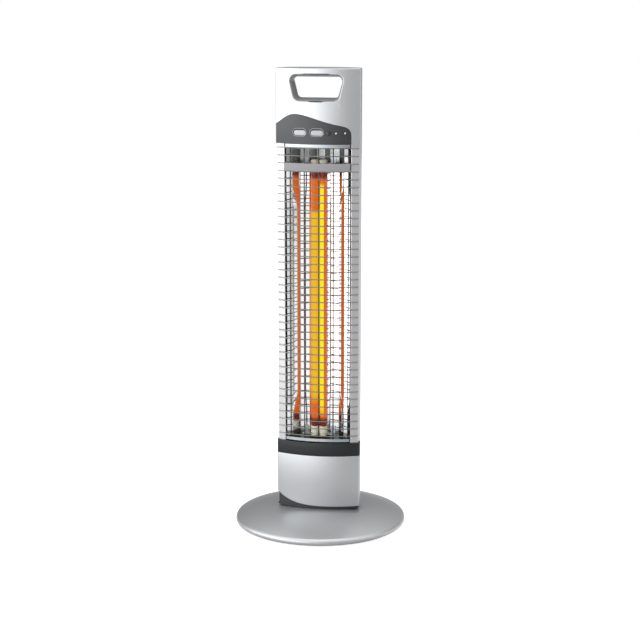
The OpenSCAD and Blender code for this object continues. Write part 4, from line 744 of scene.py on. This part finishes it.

# Bright-rolled anodised aluminium: mirror-like, with faint rolling lines along its length,
# about 0.6 mm apart. Beyond the tubes' ends it is painted darker in patches, as painted shade, and rougher.
bright_sheet, t, face, at = fresh("bright_rolled_aluminium")
along = add(t, "Mapping", {"Scale": (1, 1, 0.02)}, {"Vector": at})
lines = add(t, "TexNoise", {"Scale": 1600.0, "Detail": 2.0}, {"Vector": along})
tint = add(t, "Mix", {"data_type": "RGBA", 6: lin("dcdddf"), 7: lin("e8e9ea")}, {"Factor": lines}, 2)
gloss = add(t, "MapRange", {"To Min": 0.04, "To Max": 0.10}, {"Value": lines})
spot = t.nodes.new("ShaderNodeSeparateXYZ")
add(t, spot, links={0: at})
height = add(t, "Math", {"operation": "SUBTRACT", 1: (tube_low + tube_top) / 2 * MM}, {0: spot.outputs[2]})
height = add(t, "Math", {"operation": "ABSOLUTE"}, {0: height})
reach = (tube_top - tube_low) / 2 * MM
# Painted shade: beyond the tubes' ends the sheet's colour goes darker, in patches.
painted_shade_ends = add(t, "MapRange", {"From Min": reach + 0.002, "From Max": reach + 0.006}, {"Value": height})
patch = add(t, "TexNoise", {"Scale": 70.0, "Detail": 2.0}, {"Vector": at})
dull = add(t, "Mix", {"data_type": "RGBA", 6: lin("5a5b5c"), 7: lin("a0a1a1")}, {"Factor": patch}, 2)
tint = add(t, "Mix", {"data_type": "RGBA"}, {"Factor": painted_shade_ends, 6: tint, 7: dull}, 2)
gloss = add(t, "Mix", {3: 0.25}, {"Factor": painted_shade_ends, 2: gloss})
add(t, face, {"Metallic": 1.0}, {"Base Color": tint, "Roughness": gloss})
trough.data.materials.append(bright_sheet)
dress(zinc_sheet, "lower_end_plate", "upper_end_plate", "tube_holders")

# Heating tubes
# Two quartz tubes stand side by side, each with a glowing carbon strip stretched inside it by
# sprung leads, and a ceramic cap at each end.

# Quartz lit through by the strip. The left tube shows golden and stays orange for its upper
# 60 mm. The right one is hotter: lemon yellow. Both are orange along their outer sides and
# towards their ends, and dull red beyond the strips.
lit_quartz, t, face, at = fresh("quartz_lit_by_its_strip")
spot = t.nodes.new("ShaderNodeSeparateXYZ")
add(t, spot, links={0: at})
hotter = add(t, "MapRange", {"From Min": -0.001, "From Max": 0.001}, {"Value": spot.outputs[0]})
side = add(t, "Math", {"operation": "ABSOLUTE"}, {0: spot.outputs[0]})
side = add(t, "Math", {"operation": "MULTIPLY_ADD", 1: 0.0024}, {0: hotter, 2: side})
side = add(t, "MapRange", {"From Min": 0.0111, "From Max": 0.0121}, {"Value": side})
from_top = add(t, "Math", {"operation": "SUBTRACT", 0: glow_top * MM}, {1: spot.outputs[2]})
from_low = add(t, "Math", {"operation": "SUBTRACT", 1: glow_low * MM}, {0: spot.outputs[2]})
top_cool = add(t, "MapRange", {"To Min": 0.062, "To Max": 0.016}, {"Value": hotter})
low_cool = add(t, "MapRange", {"To Min": 0.045, "To Max": 0.022}, {"Value": hotter})
top_warm = add(t, "Math", {"operation": "SUBTRACT", 1: 0.008}, {0: top_cool})
low_warm = add(t, "Math", {"operation": "SUBTRACT", 1: 0.02}, {0: low_cool})
top_cool = add(t, "MapRange", {"To Min": 1.0, "To Max": 0.0},
               {"Value": from_top, "From Min": top_warm, "From Max": top_cool})
low_cool = add(t, "MapRange", {"To Min": 1.0, "To Max": 0.0},
               {"Value": from_low, "From Min": low_warm, "From Max": low_cool})
warm = add(t, "Math", {"operation": "MAXIMUM"}, {0: top_cool, 1: low_cool})
warm = add(t, "Math", {"operation": "MAXIMUM"}, {0: warm, 1: side})
heat = add(t, "TexNoise", {"Scale": 90.0, "Detail": 1.0}, {"Vector": at})
warm = add(t, "Math", {"operation": "MULTIPLY_ADD", "use_clamp": True, 1: 0.12}, {0: heat, 2: warm})
glow = add(t, "Mix", {"data_type": "RGBA", 6: lin("f0be08"), 7: lin("fcec14")}, {"Factor": hotter}, 2)
glow = add(t, "Mix", {"data_type": "RGBA", 7: lin("dd6408")}, {"Factor": warm, 6: glow}, 2)
nearest = add(t, "Math", {"operation": "MINIMUM"}, {0: from_top, 1: from_low})
ember = add(t, "MapRange", {"From Min": -0.004, "From Max": 0.006, "To Min": 1.0, "To Max": 0.0,
            "interpolation_type": "SMOOTHSTEP"}, {"Value": nearest})
glow = add(t, "Mix", {"data_type": "RGBA", 7: lin("8a2a20")}, {"Factor": ember, 6: glow}, 2)
strength = add(t, "MapRange", {"To Min": 0.95, "To Max": 0.5}, {"Value": ember})
add(t, face, {"IOR": 1.46, "Roughness": 0.08, "Specular IOR Level": 0.25, "Base Color": lin("1c0e06")},
    {"Emission Color": glow, "Emission Strength": strength})
tube_bore, tube_edge = 5.0, 0.3
half = np.array([(tube_bore, 30), (tube_bore, 0), (tube_r - tube_edge, 0), (tube_r, tube_edge), (tube_r, 30)])
tube_line = np.concatenate([half + [0, tube_low], (half * [1, -1] + [0, tube_top])[::-1]])
for name, x in (("left_quartz_tube", -tube_x), ("right_quartz_tube", tube_x)):
    tube = piece(name + "_glass", "tower", lit_quartz, [turned(tube_line, 48, x, tube_y)])
    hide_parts(name)

# Woven carbon, glowing: orange-yellow along its length, with the weave's bands 2 mm apart.
glowing_carbon, t, face, at = fresh("glowing_carbon_strip")
weave = add(t, "TexWave", {"Scale": 150.0, "bands_direction": "Z"}, {"Vector": at}, 1)
glow = add(t, "Mix", {"data_type": "RGBA", 6: lin("f0a010"), 7: lin("f8d020")}, {"Factor": weave}, 2)
add(t, face, {"Roughness": 0.6, "Base Color": lin("2a2522"), "Emission Strength": 1.0},
    {"Emission Color": glow})
dress(glowing_carbon, "left_carbon_strip", "right_carbon_strip")

# Steatite ceramic, unglazed: greyish cream and slightly speckled.
steatite, t, face, at = fresh("unglazed_steatite")
specks = add(t, "TexNoise", {"Scale": 900.0, "Detail": 5.0}, {"Vector": at})
tint = add(t, "Mix", {"data_type": "RGBA", 6: lin("b9b5a2"), 7: lin("ccc9b8")}, {"Factor": specks}, 2)
bump = add(t, "Bump", {"Strength": 0.3, "Distance": 0.0001}, {"Height": specks})
add(t, face, {"Roughness": 0.62, "IOR": 1.58}, {"Base Color": tint, "Normal": bump})
dress(steatite, "ceramic_caps", "thermal_cutout")

# Nickel wire, browned by heat.
heated_nickel, t, face, at = fresh("heat_browned_nickel_wire")
brown = add(t, "TexNoise", {"Scale": 300.0, "Detail": 2.0}, {"Vector": at})
tint = add(t, "Mix", {"data_type": "RGBA", 6: lin("8c7f70"), 7: lin("a8a19a")}, {"Factor": brown}, 2)
add(t, face, {"Metallic": 1.0, "Roughness": 0.35}, {"Base Color": tint})
dress(heated_nickel, "lead_springs")

# Wire guard
# Thirty-nine bowed wires are spot-welded to five straight ones and tucked through the rails,
# all chrome-plated, with a flat grey band across near the top.
wire_r, upright_r, wire_in = 0.9, 1.1, 1.4
wire_low, wire_top, wire_count = rail_z + 12, head_z - 6.8, 39


def wire(path, r, up, n=10):
    """A round wire along a path of points: each ring lies square to the path, and is placed by
    the direction up. Both ends are rounded off by a smaller ring."""
    path = np.asarray(path, float)
    ahead = np.gradient(path, axis=0)
    ahead /= np.linalg.norm(ahead, axis=1)[:, None]
    out = np.cross(ahead, up)
    out /= np.linalg.norm(out, axis=1)[:, None]
    up = np.cross(out, ahead)
    a = np.linspace(0, 2 * np.pi, n, endpoint=False)[None, :, None]
    rings = path[:, None] + r * (np.cos(a) * up[:, None] + np.sin(a) * out[:, None])
    first = path[0] + (rings[0] - path[0]) * 0.5 - ahead[0] * r * 0.5
    last = path[-1] + (rings[-1] - path[-1]) * 0.5 + ahead[-1] * r * 0.5
    return surface(np.concatenate([first[None], rings, last[None]]), wrap_u=True, ends=True)


end_x, tuck = 69.0, 2.0
heading = math.asin(end_x / front_r)
lean = np.linspace(-heading, heading, 61)
bow_line = np.stack([(front_r - wire_in) * np.sin(lean), front_cy - (front_r - wire_in) * np.cos(lean)], 1)
turn_in = np.radians(np.linspace(15, 90, 5))
ahead = np.array([math.cos(heading), math.sin(heading)])
inward = np.array([-ahead[1], ahead[0]])
tail = bow_line[-1] + tuck * (np.sin(turn_in)[:, None] * ahead + (1 - np.cos(turn_in))[:, None] * inward)
tail = np.concatenate([tail, tail[-1:] + 1.2 * inward])
bow_line = np.concatenate([tail[::-1] * [-1, 1], bow_line, tail])
chrome_bows = piece("guard_bows", "tower", None, [
    wire(np.column_stack([bow_line, np.full(len(bow_line), z)]), wire_r, (0, 0, 1))
    for z in np.linspace(wire_low, wire_top, wire_count)], 60)
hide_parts("guard_horizontals")

upright_pitch, upright_shift, upright_low, upright_top = 25.0, 3.0, 153.6, 669.5
upright_reach = front_r - (rail_in + upright_r - 0.08)
rise = np.linspace(upright_low, upright_top, 12)
upright_x = upright_shift + upright_pitch * np.arange(-2, 3)
upright_y = front_cy - np.sqrt(upright_reach ** 2 - upright_x ** 2)
posts = [wire(np.column_stack([x + 0 * rise, y + 0 * rise, rise]), upright_r, (1, 0, 0), 12)
         for x, y in zip(upright_x, upright_y)]
chrome_posts = piece("guard_posts", "tower", None, posts, 60)
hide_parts("guard_uprights")

# Dark chrome plate over drawn wire: glossy grey, a little clouded every few millimetres. The
# uprights behind are painted darker and browner, as painted shade, and the bows' ends over the
# rails are painted paler, as painted light.
# Painted shade: the uprights' copy of the chrome is darker and browner than the bows'.
for made, name, dark, pale in ((chrome_bows, "dark_chrome_plated_wire", "62625f", "71716e"),
                               (chrome_posts, "painted_shade_chrome_wire", "403e3c", "4c4a48")):
    chrome, t, face, at = fresh(name)
    cloud = add(t, "TexNoise", {"Scale": 250.0, "Detail": 2.0}, {"Vector": at})
    tint = add(t, "Mix", {"data_type": "RGBA", 6: lin(dark), 7: lin(pale)}, {"Factor": cloud}, 2)
    spot = t.nodes.new("ShaderNodeSeparateXYZ")
    add(t, spot, links={0: at})
    side = add(t, "Math", {"operation": "ABSOLUTE"}, {0: spot.outputs[0]})
    # Painted light: the bows' ends over the rails are paler.
    painted_pale_ends = add(t, "MapRange", {"From Min": 0.055, "From Max": 0.058}, {"Value": side})
    tint = add(t, "Mix", {"data_type": "RGBA", 7: lin("8b8b89")}, {"Factor": painted_pale_ends, 6: tint}, 2)
    gloss = add(t, "MapRange", {"To Min": 0.12, "To Max": 0.22}, {"Value": cloud})
    add(t, face, {"Metallic": 1.0}, {"Base Color": tint, "Roughness": gloss})
    made.data.materials.append(chrome)

# Grey-lacquered steel strip: satin, with the rolled grain drawn lengthways.
band_steel, t, face, at = fresh("grey_lacquered_steel_strip")
across = add(t, "Mapping", {"Scale": (0.05, 0.05, 1)}, {"Vector": at})
grain = add(t, "TexNoise", {"Scale": 1500.0, "Detail": 2.0}, {"Vector": across})
tint = add(t, "Mix", {"data_type": "RGBA", 6: lin("707072"), 7: lin("7c7c7e")}, {"Factor": grain}, 2)
gloss = add(t, "MapRange", {"To Min": 0.5, "To Max": 0.6}, {"Value": grain})
add(t, face, {"Specular IOR Level": 0.4}, {"Base Color": tint, "Roughness": gloss})
band_low, band_high, band_in, band_half, band_t = head_z - 45.6, head_z - 32.2, -0.48, 56.0, 0.8


def band_line(d):
    """The bow in front of the wires, set in by d, as far as the window's edges."""
    a = np.linspace(-math.asin(band_half / front_r), math.asin(band_half / front_r), 61)
    return np.stack([(front_r - d) * np.sin(a), front_cy - (front_r - d) * np.cos(a)], 1)


band = piece("guard_strip", "tower", band_steel, [
    wall(band_line, band_low, band_high, band_in, band_t, 0.25)])
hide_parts("guard_band")

# Electrics
# The board stands behind the panel with its relays and switches, and the sleeved bundle of
# wires runs down behind the reflector past the thermal cut-out.

# Green solder mask over woven glass fibre: glossy, with the weave faintly showing, 2 mm apart.
board_green, t, face, at = fresh("solder_masked_board")
fibre = add(t, "TexNoise", {"Scale": 500.0, "Detail": 3.0}, {"Vector": at})
tint = add(t, "Mix", {"data_type": "RGBA", 6: lin("23583a"), 7: lin("2f6b46")}, {"Factor": fibre}, 2)
add(t, face, {"Roughness": 0.35, "IOR": 1.55}, {"Base Color": tint})
dress(board_green, "control_board")

# Blue moulded relay cases, satin with a fine grain.
relay_blue, t, face, at = fresh("blue_moulded_relay_case")
grain = add(t, "TexNoise", {"Scale": 900.0, "Detail": 2.0}, {"Vector": at})
tint = add(t, "Mix", {"data_type": "RGBA", 6: lin("234778"), 7: lin("2c5690")}, {"Factor": grain}, 2)
add(t, face, {"Roughness": 0.42}, {"Base Color": tint})
dress(relay_blue, "board_relays")

# Glass-fibre sleeving under red varnish: dull, with the braid's ribs 2.8 mm apart.
sleeve_red, t, face, at = fresh("varnished_glass_fibre_sleeve")
braid = add(t, "TexWave", {"Scale": 130.0, "bands_direction": "DIAGONAL"}, {"Vector": at}, 1)
tint = add(t, "Mix", {"data_type": "RGBA", 6: lin("5e211d"), 7: lin("84342e")}, {"Factor": braid}, 2)
bump = add(t, "Bump", {"Strength": 0.4, "Distance": 0.0003}, {"Height": braid})
add(t, face, {"Roughness": 0.6}, {"Base Color": tint, "Normal": bump})
dress(sleeve_red, "wire_harness")
